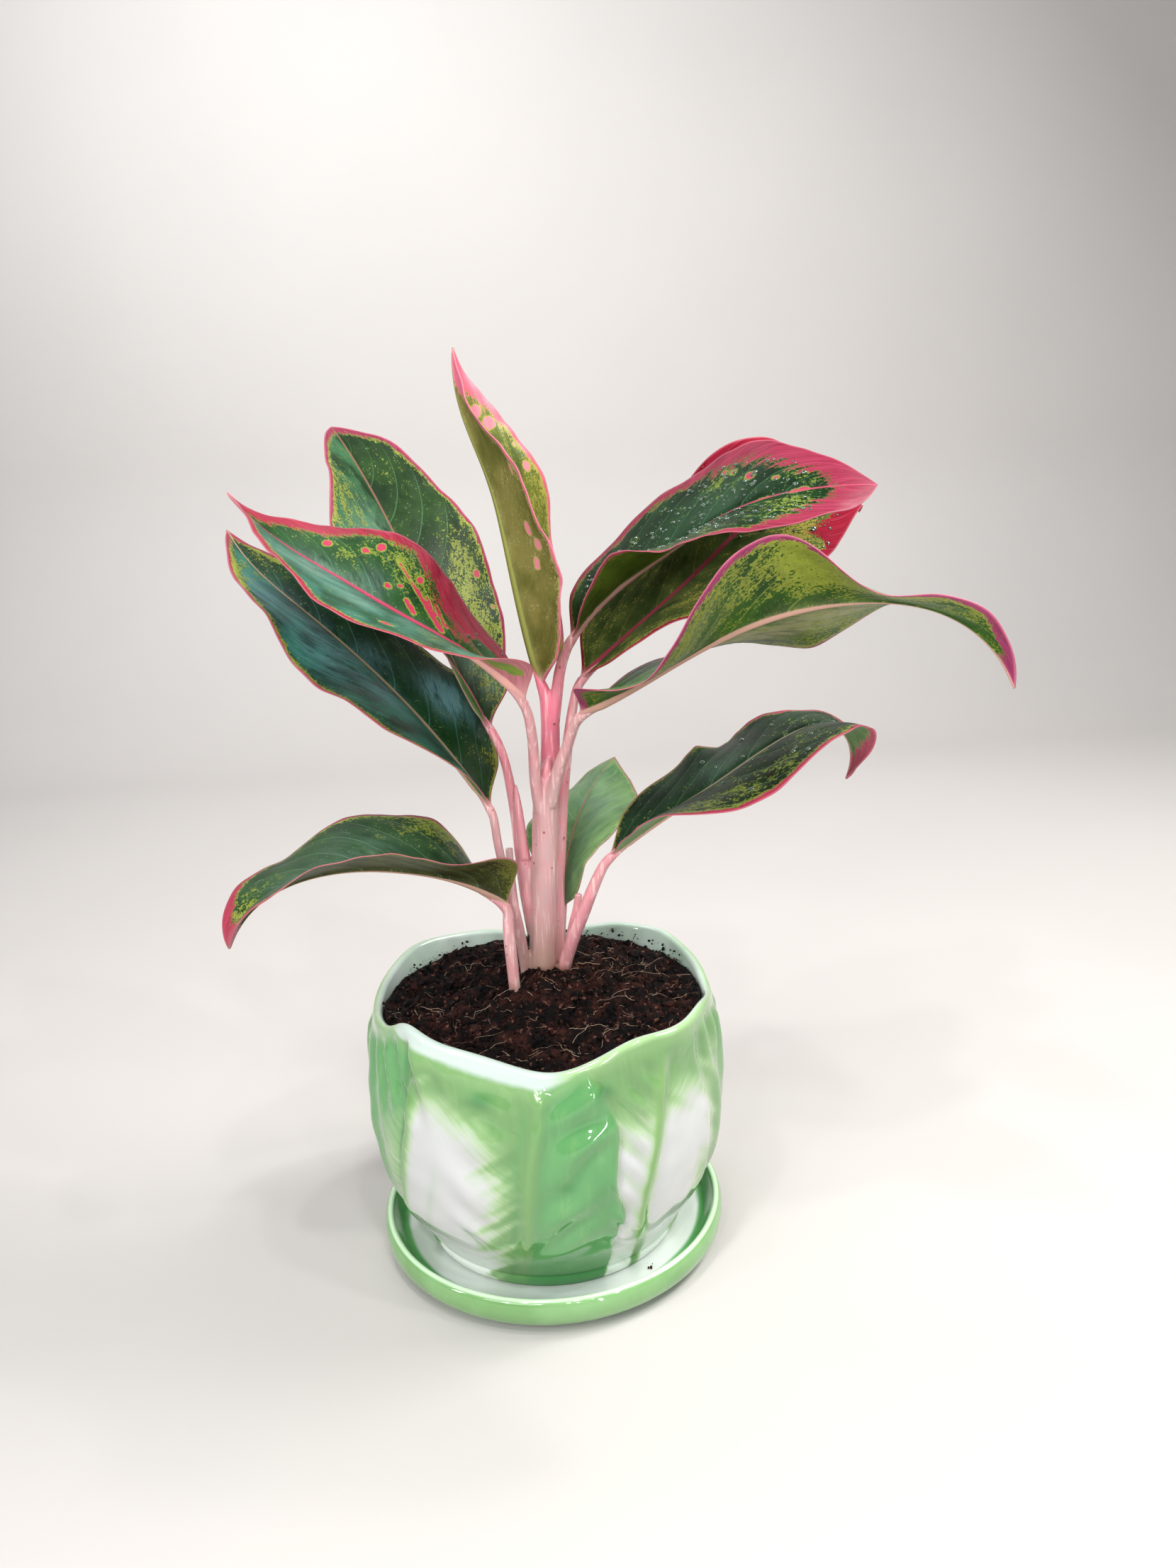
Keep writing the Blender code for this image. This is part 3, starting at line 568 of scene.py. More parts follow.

# Finish of each leaf's two faces. left and right give the border's width in millimetres
# at eight stations from base to tip, flecks how thickly the yellow flecks lie on the two
# halves, and more, sheen and islands are patches (along, across, radius, amount) of more
# flecks, of painted silvery sheen and of bare green in the border. A mark is a pink spot
# (along, across, radius) or a streak (along, across, along, across, radius). Left is positive.
# Where a face gives a light colour, its left half takes it: partly the blade's own tone and partly
# painted sheen.
LOOKS = {
    "leaf_left_middle": dict(
        dark="0f3010", mid="1f481a", light="34695a", fleck="8a9c38", border="8e1630",
        left=(3.5, 3.0, 2.4, 2.1, 2.1, 2.4, 3.2, 9.0),
        right=(20.0, 20.0, 18.5, 7.0, 3.4, 4.6, 5.2, 10.0), flecks=(0.10, 0.22),
        more=((47, -14, 6.5, 0.62), (62, -17, 5, 0.45), (76, -8, 4, 0.4), (36, 9, 6, 0.5)),
        sheen=((80, 5, 7, 1.2), (60, 8, 6, 0.75), (64, -5, 5, 0.4), (44, 6, 5, 0.3)), gloss=0.2,
        islands=((19, -9, 3.0, 1.0), (98, -4, 1.6, 0.9)),
        blot="b43450", rib="b5375a", rib_width=1.5, vein="46805a", root=7.0,
        marks=((85, -9.3, 1.3), (73, -13.7, 1.1), (70, -17.4, 1.4), (59, -6.8, 1.1),
               (56, -9.7, 0.7), (52, -16.9, 1.5), (49, 17.7, 1.4), (63, -17.2, 52, -13, 0.4),
               (51, -6.2, 46.5, -3.2, 0.8), (51, -12.6, 44, -9.2, 0.8), (44, -9.2, 36, -2.8, 1.1),
               (46, -13, 40, -8, 0.5), (41, -12, 35, -6, 0.7)),
        under=dict(dark="6f8f3c", mid="8aa548", fleck="b4b850", rib="e8b0a5",
                   border="d0828a", left=(22.0, 24.0, 12.0, 5.0, 4.0, 3.0, 3.2, 9.0), more=(),
                   islands=((15, 10.5, 4.0, 1.0),), sheen=(), marks=(), flecks=(0.3, 0.3))),
    "leaf_left_lower": dict(
        dark="08200d", mid="153818", light="2a7463", fleck="8f9a3c", border="8a2c42", gloss=0.18,
        left=(0.5, 0.8, 1.0, 0.9, 0.9, 1.0, 1.2, 2.5),
        right=(0.5, 0.9, 0.9, 0.8, 0.9, 1.0, 1.2, 2.5), flecks=(0.02, 0.06), rim=0.95,
        more=((118, 8, 7, 0.5), (122, -7, 6, 0.6), (12, -16, 6, 0.4)),
        sheen=((78, 12, 11, 0.8), (104, 8, 8, 0.55), (42, -16, 6, 1.9), (50, 8, 7, 0.65),
               (66, -6, 5, 0.4)), painted_sheen="7fb0bd",
        blot="a8364a", rib="a08c74", rib_width=1.0, vein="4d7f74",
        under=dict(dark="4f6a3c", mid="66804c", fleck="9aa65a", rib="cfa792",
                   border="b85a6a", sheen=())),
    "leaf_left_upper": dict(
        dark="0e240b", mid="203c15", light="386544", fleck="8f993e", border="832342",
        left=(0.9, 1.2, 1.3, 1.4, 1.4, 1.5, 1.8, 4.0),
        right=(0.9, 1.3, 1.6, 1.5, 1.3, 1.4, 1.8, 4.0), flecks=(0.22, 0.02),
        more=((56, -20, 10, 0.72), (36, -22, 9, 0.6), (92, 18, 9, 0.34), (74, -24, 8, 0.45),
              (108, -10, 8, 0.25), (18, -10, 7, 0.6)), gloss=0.14, matt=0.10,
        sheen=((80, 12, 8, 0.35), (20, -9, 7, 0.5)),
        blot="a83a50", rib="7d5b4a", rib_width=0.8, vein="48764a",
        marks=((61, -26.3, 1.4), (47, -28.5, 0.8)),
        under=dict(dark="4f6f3c", mid="6b8a4c", fleck="a3ad58", rib="d3a596",
                   border="b85068", sheen=())),
    "leaf_spear": dict(
        dark="4a5a1e", mid="70762c", fleck="aaa548", border="cf5f72",
        left=(1.0, 1.4, 1.5, 1.5, 1.6, 2.0, 4.0, 10.0),
        right=(1.0, 1.4, 1.5, 1.5, 1.6, 2.0, 4.0, 10.0), flecks=(0.46, 0.46),
        blot="d9808c", rib="c98c80", rib_width=0.9, vein="8a8d42",
        marks=((70, -14.2, 1.3), (69, 16.5, 1.4), (86, -6.9, 2.2), (94, 8.6, 1.6),
               (91, -4.2, 1.4), (77, -13, 0.7), (98, 1, 1.3), (95, -1, 84, -1.5, 1.0)),
        under=dict(dark="5a5a26", mid="7c763e", fleck="b0a566", rib="8f924a",
                   border="d76a84", flecks=(0.3, 0.3), vivid=0.3,
                   marks=((54, 12.5, 52, 12.8, 1.2), (48, 15.2, 1.5), (43, 11.9, 41, 11.5, 1.1),
                          (70, 14, 72, 14.4, 0.6)))),
    "leaf_right_upper": dict(
        dark="071c0b", mid="133515", fleck="7b903c", border="84203a", gloss=0.10,
        left=(3.0, 3.0, 3.6, 4.6, 7.0, 9.5, 11.5, 24.0),
        right=(2.0, 2.1, 2.2, 2.3, 2.4, 4.4, 10.0, 24.0), flecks=(0.12, 0.34),
        more=((66, 17, 5, 0.5), (94, 6, 6, 0.6), (88, -8, 6, 0.6), (30, 16, 5, 0.4)),
        sheen=((60, 8, 8, 0.12),),
        blot="a83450", rib="a8445a", rib_width=1.1, vein="3f7049",
        marks=((75, 11.7, 1.5), (83, 7.2, 0.8), (76, -1, 80, -0.5, 0.7), (70, 17, 0.8),
               (88, -0.5, 92, 0, 0.8), (67, 19.5, 1.0)),
        under=dict(dark="44591c", mid="617726", fleck="8d9840", rib="dba3a0",
                   border="c04a66", flecks=(0.25, 0.25), sheen=(), marks=())),
    "leaf_right_rear": dict(
        dark="30401d", mid="536230", fleck="a39c48", border="840c26",
        left=(2.2, 2.4, 2.6, 3.0, 4.5, 7.5, 12.0, 20.0),
        right=(2.0, 2.2, 2.3, 3.0, 7.0, 14.0, 20.0, 24.0),
        flecks=(0.42, 0.42), gloss=0.02, matt=0.4,
        more=((88, -13, 6, 0.6), (50, -13, 6, 0.35)),
        islands=((87, -22, 2.6, 1.0), (100, -9, 5.0, 0.6)),
        blot="8f2238", rib="9c3c50", rib_width=2.0, vein="8f7a48",
        under=dict(dark="3f5a24", mid="5b7434", fleck="94a04a", rib="c98f8a",
                   border="a5304a")),
    "leaf_right_front": dict(
        dark="1f4a1c", mid="356c22", fleck="8c9a38", border="a02e5a",
        left=(2.2, 2.8, 2.8, 2.4, 2.0, 1.6, 1.5, 7.0),
        right=(1.2, 1.4, 1.3, 1.1, 1.1, 1.2, 1.4, 7.0), flecks=(0.36, 0.36),
        blot="b04a60", rib="b86a70", rib_width=1.4, vein="6c9448",
        under=dict(dark="1c3f0d", mid="346115", fleck="97a23c", rib="d0a292",
                   border="93305c", flecks=(0.50, 0.62), blot="a63a68",
                   right=(5.0, 4.6, 3.6, 2.9, 2.2, 1.8, 2.0, 7.0), vein="9aa548",
                   left=(1.2, 1.4, 1.3, 1.2, 1.4, 1.8, 2.0, 7.0),
                   more=((96, -16, 12, 0.4), (80, -18, 8, 0.3)), painted_sheen="aaa67c",
                   sheen=((50, -22, 9, 0.4), (62, 12, 9, 1.7), (86, 10, 9, 1.7)))),
    "leaf_right_low": dict(
        dark="0a1b0b", mid="162e16", light="1b3520", fleck="7c8a36", border="962842",
        left=(0.4, 0.6, 0.7, 0.8, 1.0, 2.6, 4.0, 14.0),
        right=(0.4, 0.9, 1.5, 1.9, 1.9, 1.5, 4.0, 14.0), flecks=(0.06, 0.24), gloss=0.11,
        more=((60, -14, 8, 0.42), (84, 4, 10, 0.36), (46, -20, 6, 0.4)),
        nicks=((60, -17.8, 1.1, 1.6), (57, -16.4, 0.6, 1.2)),
        sheen=((50, 8, 7, 0.2),),
        blot="b04a58", rib="8c8070", rib_width=0.9, vein="55785a",
        under=dict(dark="5f7a50", mid="7a9468", fleck="9cab72", rib="dcb0a4",
                   border="c05a70", sheen=(), more=())),
    "leaf_young": dict(
        dark="426a40", mid="6b9055", light="5b7f4c", fleck="8bab66", border="84745a",
        left=(0.3, 0.4, 0.4, 0.5, 0.6, 0.7, 0.9, 2.0),
        right=(0.3, 0.4, 0.4, 0.5, 0.7, 1.0, 1.2, 2.0), flecks=(0.02, 0.02),
        sheen=((40, -8, 9, 0.5), (52, 4, 7, 0.3)),
        blot="8a7a5e", rib="92765f", rib_width=0.8, vein="8ab084",
        under=dict(dark="3f7a4a", mid="74a568", fleck="9fc07a", rib="c79c8c",
                   border="9c7a68", sheen=())),
    "leaf_left_low": dict(
        dark="152f17", mid="284825", fleck="8f9c3c", border="982c42",
        left=(0.4, 0.5, 0.5, 0.5, 0.6, 0.8, 2.4, 12.0),
        right=(0.5, 1.3, 1.4, 1.1, 0.8, 0.8, 2.4, 12.0), flecks=(0.02, 0.04), root=2.0,
        more=((24, -21, 8, 0.7), (94, -2, 6, 0.9), (38, -22, 6, 0.4)),
        sheen=((66, 6, 10, 0.5), (50, -10, 8, 0.3)),
        blot="b04a58", rib="557558", rib_width=0.7, vein="5f8866",
        under=dict(dark="26290f", mid="454b27", fleck="7d803a", rib="c9a08c",
                   border="b8727c", flecks=(0.34, 0.34), more=((8, 14, 7, 0.4),), sheen=())),
}


def leaf_frame(leaf, t):
    """Direction along the midrib, towards the left edge, and out of the face."""
    heading = math.radians(smooth_value(leaf["heading"], t))
    rise = math.radians(smooth_value(leaf["rise"], t))
    roll = math.radians(smooth_value(leaf["roll"], t))
    along = Vector((math.cos(rise) * math.cos(heading), math.cos(rise) * math.sin(heading),
                    math.sin(rise)))
    level = Vector((-math.sin(heading), math.cos(heading), 0.0))
    up = along.cross(level)
    left = level * math.cos(roll) + up * math.sin(roll)
    face = up * math.cos(roll) - level * math.sin(roll)
    return along, left, face


def half_width(leaf, t):
    """Half the blade's width: full near the base and drawn out to the tip."""
    a, b = leaf["blunt"]
    peak = a / (a + b)
    top = peak ** a * (1.0 - peak) ** b
    wide = 0.5 * leaf["width"] * t ** a * (1.0 - t) ** b / top * ramp(t, -0.02, 0.10)
    return max(wide, ROOT_HALF_WIDTH * (1.0 - t), 0.12)


def leaf_midrib(leaf, stations):
    """Points of the midrib at the stations."""
    spot = Vector(leaf["base"])
    points = [spot.copy()]
    for start, end in zip(stations, stations[1:]):
        along, _, _ = leaf_frame(leaf, (start + end) / 2)
        spot = spot + along * (leaf["length"] * (end - start))
        points.append(spot.copy())
    return points


def leaf_grid(name, leaf, seed):
    """Middle surface of a blade, and at each point: along, across, edge, vein, rib and t."""
    stations = [(k / LEAF_ROWS) ** 1.15 for k in range(LEAF_ROWS + 1)]
    shares = [(j / LEAF_COLUMNS) ** 1.45 for j in range(LEAF_COLUMNS + 1)]
    ripple = LEAF_RIPPLE.get(name, EDGE_RIPPLE)
    curl = math.radians(leaf["curl"])
    across = 2 * LEAF_COLUMNS + 1
    points = np.zeros((len(stations), across, 3))
    facts = np.zeros((len(stations), across, 6))
    for k, (t, middle) in enumerate(zip(stations, leaf_midrib(leaf, stations))):
        _, left, face = leaf_frame(leaf, t)
        width = half_width(leaf, t)
        calm = ramp(t, 0.08, 0.3) * (1 - ramp(t, 0.85, 1.0))
        for side, folds, phase in ((1.0, leaf["left"], 0.0), (-1.0, leaf["right"], 1.9)):
            fold = math.radians(smooth_value(folds, t))
            uneven = 1.0 + 0.025 * calm * wander(t * 9.0, side * 3.0, seed)
            spot = middle.copy()
            inner = 0.0
            for j, share in enumerate(shares):
                angle = fold + curl * (inner + share) / 2
                out = left * (side * math.cos(angle)) + face * math.sin(angle)
                spot = spot + out * (width * uneven * (share - inner))
                inner = share
                turn = 2 * math.pi * EDGE_WAVES * t + phase
                wave = ripple * calm * share ** 2 * math.sin(turn)
                wave += 0.7 * calm * share ** 3 * wander(t * 17.0, side * 5.0 + 2.0, seed)
                column = LEAF_COLUMNS - int(side) * j
                points[k, column] = spot + face * wave
                reach = share * width
                facts[k, column] = (t * leaf["length"], side * reach, width - reach,
                                    t - 0.34 * share ** 1.25, reach, t)
    return points, facts


def grid_normals(points):
    """Unit normals of a grid of points, out of the leaf's upper face."""
    down = np.gradient(points, axis=0)
    over = np.gradient(points, axis=1)
    normals = np.cross(over, down)
    size = np.linalg.norm(normals, axis=2, keepdims=True)
    normals /= np.maximum(size, 1e-9)
    return normals


def blade_skins(name, leaf, settings, seed):
    """Grids of the upper and the lower face, and the measures at their points."""
    points, facts = leaf_grid(name, leaf, seed)
    normals = grid_normals(points)
    _, _, first = leaf_frame(leaf, 0.0)
    if float(np.dot(normals[2, LEAF_COLUMNS], np.array(first))) < 0:
        normals = -normals
    edge, phase, rib, t = facts[..., 2], facts[..., 3], facts[..., 4], facts[..., 5]
    width = np.maximum(edge + rib, 1e-6)
    share = rib / width
    calm = np.clip((1.0 - t) * 6.0, 0.0, 1.0) * np.clip(t * 12.0, 0.0, 1.0)
    swell = np.abs(np.sin(math.pi * phase * settings.side_veins)) ** 0.7
    fade = np.clip(rib / 5.0, 0.0, 1.0) * np.clip(edge / 5.0, 0.0, 1.0)
    quilt = settings.quilting / MM * (swell - 0.6) * fade * calm
    groove = -0.45 * np.exp(-(rib / (1.5 * (1.0 - 0.7 * t) + 0.3)) ** 2) * calm
    keel_width = 1.7 * (1.0 - 0.82 * t) + 0.15
    round_back = np.sqrt(np.clip(1.0 - (rib / keel_width) ** 2, 0, 1))
    fade_in = np.clip(0.1 + t * leaf["length"] / 11.0, 0, 1)
    keel = MIDRIB_DEPTH * (1.0 - 0.85 * t) * round_back
    keel *= np.clip(width / 1.5, 0.0, 1.0) * fade_in
    thin = settings.thickness / MM * (1.0 - 0.6 * share ** 8)
    upper = points + normals * (quilt + groove)[..., None]
    lower = points + normals * (quilt + groove * 0.3 - thin - keel)[..., None]
    return upper, lower, facts


def mark_distance(marks, along, across):
    """Distance in millimetres to the edge of the nearest spot or streak, below 0 inside."""
    best = np.full(along.shape, 9.0)
    for k, mark in enumerate(marks):
        u, v, radius = mark[0], mark[1], mark[-1]
        if len(mark) == 3:
            gap = np.hypot((along - u) / (1.15 + 0.2 * math.sin(2.1 * k)), across - v) - radius
        else:
            du, dv = mark[2] - u, mark[3] - v
            part = np.clip(((along - u) * du + (across - v) * dv) / (du * du + dv * dv), 0, 1)
            gap = np.hypot(along - u - part * du, across - v - part * dv) - radius
        best = np.minimum(best, gap)
    return best


def patches(spots, along, across):
    """Sum of soft patches, each given by its middle, radius and amount."""
    total = np.zeros_like(along)
    for u, v, radius, amount in spots:
        total += amount * np.exp(-((along - u) / (1.5 * radius)) ** 2
                                 - ((across - v) / radius) ** 2)
    return total


def face_trim(look, facts):
    """Border width, mark distance and flecks, then sheen and nicks, at a face's points."""
    along, across, edge, rib, t = (facts[..., k] for k in (0, 1, 2, 4, 5))
    share = rib / np.maximum(rib + edge, 1e-6)
    border = np.zeros_like(t)
    flecks = patches(look.get("more", ()), along, across)
    middle = LEAF_COLUMNS
    for part, side, density in ((slice(0, middle), "left", look["flecks"][0]),
                                (slice(middle, None), "right", look["flecks"][1])):
        border[:, part] = np.array([smooth_value(look[side], x) for x in t[:, 0]])[:, None]
        flecks[:, part] += density * (0.35 + 1.05 * share[:, part])
    border *= 1.0 - np.clip(1.6 * patches(look.get("islands", ()), along, across), 0.0, 1.0)
    marks = mark_distance(look.get("marks", ()), along, across)
    sheen = patches(look.get("sheen", ()), along, across)
    nicks = patches(look.get("nicks", ()), along, across)
    return (np.stack([border, marks, flecks], axis=-1),
            np.stack([sheen, nicks, np.zeros_like(t)], axis=-1))


def make_blade(name, leaf, look, settings, seed, materials):
    """A blade with a quilted face, a grooved midrib above and a rounded one below."""
    upper, lower, facts = blade_skins(name, leaf, settings, seed)
    rows, columns, _ = upper.shape
    count = rows * columns
    vertices = np.concatenate([upper.reshape(count, 3), lower.reshape(count, 3)])
    grid = np.arange(count).reshape(rows, columns)
    a, b, c, d = grid[:-1, :-1], grid[:-1, 1:], grid[1:, 1:], grid[1:, :-1]
    top = np.stack([a, b, c, d], axis=-1).reshape(-1, 4)
    bottom = np.stack([a, d, c, b], axis=-1).reshape(-1, 4) + count
    loop = np.concatenate([grid[0], grid[1:, -1], grid[-1, -2::-1], grid[-2:0:-1, 0]])
    after = np.roll(loop, -1)
    rim = np.stack([loop, loop + count, after + count, after], axis=-1)
    faces = np.concatenate([top, bottom, rim])
    index = np.concatenate([np.zeros(len(top)), np.ones(len(bottom)), np.zeros(len(rim))])
    along, across, edge, phase, rib, t = (facts[..., k] for k in range(6))
    place = np.stack([along, across, edge], axis=-1)
    veins = np.stack([phase * settings.side_veins, rib, t], axis=-1)
    lower_look = dict(dict(look, flecks=(0.1, 0.1)), **look["under"])
    (trim, tint), (trim_low, tint_low) = face_trim(look, facts), face_trim(lower_look, facts)
    attributes = {"place": np.concatenate([place, place]),
                  "veins": np.concatenate([veins, veins]),
                  "trim": np.concatenate([trim, trim_low]),
                  "tint": np.concatenate([tint, tint_low])}
    return mesh_piece(name + "_blade", vertices.tolist(), faces.tolist(), materials,
                      index.astype(np.int32), attributes)


class LeafMeasures:
    """The measures and the noises that every part of a leaf's finish draws on."""

    def __init__(self, s, seed):
        self.along, self.across, self.edge = s.split("place")
        self.phase, self.rib, self.t = s.split("veins")
        self.border, self.marks, self.flecks = s.split("trim")
        self.sheen, self.nick, _ = s.split("tint")
        flow = s.join(s.scale(self.phase, 7.0), s.scale(self.rib, 0.30), seed * 3.7)
        spot = s.join(self.along, self.across, seed * 5.1)
        fibre = s.join(s.scale(self.phase, 46.0), s.scale(self.rib, 0.5), seed)
        self.patch = s.noise(spot, 0.075, 3.0, 0.55)
        self.streak = s.noise(flow, 0.42, 6.0, 0.68, 0.3)
        self.fine = s.noise(flow, 2.2, 4.0, 0.7)
        self.hair = s.noise(fibre, 1.0, 2.0)
        self.dots = s.noise(spot, 1.25, 3.0, 0.7)
        self.soft = s.noise(spot, 0.30, 5.0, 0.62)
        self.dust = s.cells(spot, 0.8)
        line = s.math("PINGPONG", self.phase, 0.5)
        self.vein = s.scale(s.ramp(line, 0.036, 0.0), s.ramp(self.edge, 1.5, 7.0))


def shaded(colour, factor, more=0.0):
    """A colour made lighter or darker."""
    return [min(1.0, c * factor + more) for c in colour]


def leaf_ground(s, m, side, colour):
    """Green of the blade with its veins, painted light bands on the quilting and painted silvery
    sheen.
    """
    # The left half takes the light colour, partly the blade's own tone and partly painted sheen.
    field = s.mix(s.ramp(m.across, -0.3, 0.3), colour["mid"], colour["light"])
    green = s.mix(s.ramp(m.patch, 0.36, 0.64), colour["dark"], field)
    green = s.mix(s.ramp(m.streak, 0.35, 0.75, 0.0, 0.45), green, field)
    vivid = side.get("vivid", 1.0)
    # Each strip between side veins is painted lighter just past its vein: painted light on the
    # quilted swell.
    slope = s.ramp(s.math("FRACT", m.phase), 0.75, 0.05, 0.0, 0.16 * vivid)
    green = s.mix(slope, green, shaded(colour["mid"], 1.5))
    green = s.mix(s.ramp(m.hair, 0.5, 0.75, 0.0, 0.22), green, shaded(colour["dark"], 0.5))
    green = s.mix(s.scale(m.vein, 0.45 * vivid), green, colour["vein"])
    # The silvery patches laid over the green are painted sheen, a painted reflection on the waxy
    # face.
    grain = s.add(s.scale(m.streak, 0.6), s.scale(m.hair, 0.4))
    painted_sheen = s.scale(m.sheen, s.ramp(grain, 0.32, 0.66))
    painted_sheen = s.math("MINIMUM", s.scale(painted_sheen, 0.85), 0.62)
    return s.mix(painted_sheen, green, side.get("painted_sheen", "83a497"))


def leaf_flecks(s, m, side, colour, green):
    """Yellow flecks, pale dust, pink spots and brown nicks over the green."""
    crowd = s.add(m.flecks, s.ramp(m.edge, 4.5, 0.8, 0.0, side.get("rim", 0.62)))
    crowd = s.add(s.add(crowd, s.sway(m.soft, 1.5)), s.sway(m.patch, 0.9))
    green = s.mix(s.ramp(crowd, 0.35, 1.0, 0.0, 0.75), green, shaded(colour["dark"], 0.8))
    grain = s.add(s.add(s.scale(m.dots, 0.50), s.scale(m.fine, 0.28)), s.scale(m.streak, 0.22))
    speck = s.ramp(s.add(grain, s.scale(crowd, 0.19)), 0.62, 0.65)
    warm = s.mix(s.ramp(m.soft, 0.35, 0.65), colour["fleck"], shaded(colour["fleck"], 0.72))
    green = s.mix(s.scale(speck, 0.85), green, warm)
    dust = s.scale(s.ramp(m.dust, 0.24, 0.12), s.ramp(m.soft, 0.44, 0.6))
    green = s.mix(s.scale(dust, 0.3), green, "a9b79a")
    mark = s.add(m.marks, s.add(s.sway(m.dots, 1.5), s.sway(m.soft, 1.8)))
    green = s.mix(s.ramp(mark, 0.62, 0.2, 0.0, 0.75), green, colour["fleck"])
    green = s.mix(s.ramp(mark, 0.14, -0.1), green, colour["blot"])
    return s.mix(s.ramp(m.nick, 0.55, 0.75), green, "1a120a")


def leaf_border(s, m, colour, green):
    """The ragged crimson border and its fringe of flecks."""
    ragged = s.add(s.sway(m.streak, 8.0), s.sway(m.fine, 4.0))
    ragged = s.add(ragged, s.sway(m.dots, 5.0))
    reach = s.add(m.border, s.scale(ragged, s.math("MINIMUM", s.scale(m.border, 0.34), 4.6)))
    fringe = s.ramp(s.minus(m.edge, reach), 1.1, 0.1)
    green = s.mix(s.scale(fringe, 0.7), green, colour["fleck"])
    shade = s.mix(s.ramp(m.streak, 0.3, 0.7), shaded(colour["border"], 0.72),
                  shaded(colour["border"], 1.15, 0.01))
    shade = s.mix(s.ramp(m.hair, 0.55, 0.8, 0.0, 0.35), shade, "d98a98")
    shade = s.mix(s.scale(s.ramp(m.edge, 0.8, 0.0), 0.35), shade, "d98a98")
    return s.mix(s.ramp(s.minus(reach, m.edge), -0.15, 0.15), green, shade)


def leaf_rib(s, m, side, colour, skin, under):
    """The midrib, and the pale flesh by the stalk."""
    half = s.ramp(m.t, 0.0, 0.9, side["rib_width"] * (1.5 if under else 0.8), 0.22)
    ribbed = s.ramp(s.minus(half, m.rib), -0.3, 0.15)
    skin = s.mix(s.scale(ribbed, 0.9), skin, colour["rib"])
    root = side.get("root", 5.0) * (1.5 if under else 1.0)
    base = s.ramp(s.add(m.along, s.sway(m.fine, root * 0.8)), root, 0.5)
    return s.mix(base, skin, "dba09f")


def leaf_finish(name, look, settings, seed, under):
    """Variegated skin of one face, drawn in the leaf's own measures."""
    s = Shader(name)
    side = dict(look)
    if under:
        side.update(look["under"])
        side["light"] = side["mid"]
    side.setdefault("light", side["mid"])
    colour = {key: screen_colour(side[key]) for key in
              ("dark", "mid", "light", "fleck", "border", "blot", "rib", "vein")}
    m = LeafMeasures(s, seed)
    skin = leaf_flecks(s, m, side, colour, leaf_ground(s, m, side, colour))
    skin = leaf_rib(s, m, side, colour, leaf_border(s, m, colour, skin), under)
    height = s.add(s.scale(m.fine, 0.25), s.scale(s.noise(s.place(), 4200.0, 2.0), 0.3))
    height = s.add(s.add(height, s.scale(m.hair, 0.2)), s.scale(m.vein, 0.8 if under else -0.8))
    normal = s.relief(height, 0.00012, 0.6)
    rough = s.ramp(m.soft, 0.3, 0.7, settings.roughness - 0.03, settings.roughness + 0.08)
    rough = s.add(rough, side.get("matt", 0.0) + (0.12 if under else 0.0))
    gloss = side.get("gloss", 0.30)
    return s.finish(skin, rough, normal, specular=0.7 * gloss if under else gloss)


def water_finish():
    """Water, partly clear, whose green-grey colour paints in the leaf seen through the drops."""
    s = Shader("water")
    ripple = s.relief(s.noise(s.place(), 700.0, 1.0), 0.0001, 0.2)
    # The green-grey base colour is painted light: it stands in for the leaf seen through the drop.
    return s.finish("5d7a62", 0.03, ripple, clear=0.6, ior=1.33, specular=1.0,
                    coat=1.0, coat_rough=0.02)


def wet_bed(name, settings, seed):
    """The part of a leaf's upper face on which drops lie."""
    upper, _, facts = blade_skins(name, LEAVES[name], settings, seed)
    rows, columns, _ = upper.shape
    low, high, near, far = WET[name]
    faces = []
    for k in range(int(rows * low), int(rows * high)):
        for j in range(int(columns * near), int(columns * far)):
            if facts[k, j, 2] > DRY_EDGE:
                at = k * columns + j
                faces.append((at, at + 1, at + columns + 1, at + columns))
    return plain_mesh("wet bed", upper.reshape(-1, 3).tolist(), faces)


class PLANT_OT_drops(bpy.types.Operator):
    """Lay water drops on the watered leaves."""
    bl_idname = "plant.drops"
    bl_label = "Water drops"

    def execute(self, context):
        settings = context.scene.plant_leaves
        tree = drop_tree()
        water = water_finish()
        for seed, name in enumerate(LEAVES):
            if name in WET:
                piece = grow(name + "_drops", wet_bed(name, settings, seed), tree,
                             Density=settings.drops * WET_SHARE[name], Size=settings.drop_size,
                             Seed=seed, Material=water)
                hand_over(piece)
        return {"FINISHED"}


class PLANT_OT_leaves(bpy.types.Operator):
    """Make the blades with their borders, flecks and veins."""
    bl_idname = "plant.leaves"
    bl_label = "Leaves"

    def execute(self, context):
        settings = context.scene.plant_leaves
        for seed, (name, leaf) in enumerate(LEAVES.items()):
            look = LOOKS[name]
            materials = [leaf_finish(name + " face", look, settings, seed, False),
                         leaf_finish(name + " underside", look, settings, seed, True)]
            piece = make_blade(name, leaf, look, settings, seed, materials)
            hand_over(piece, name)
        return {"FINISHED"}


# Stalks: points from the soil or the cane upwards, and the radius at each

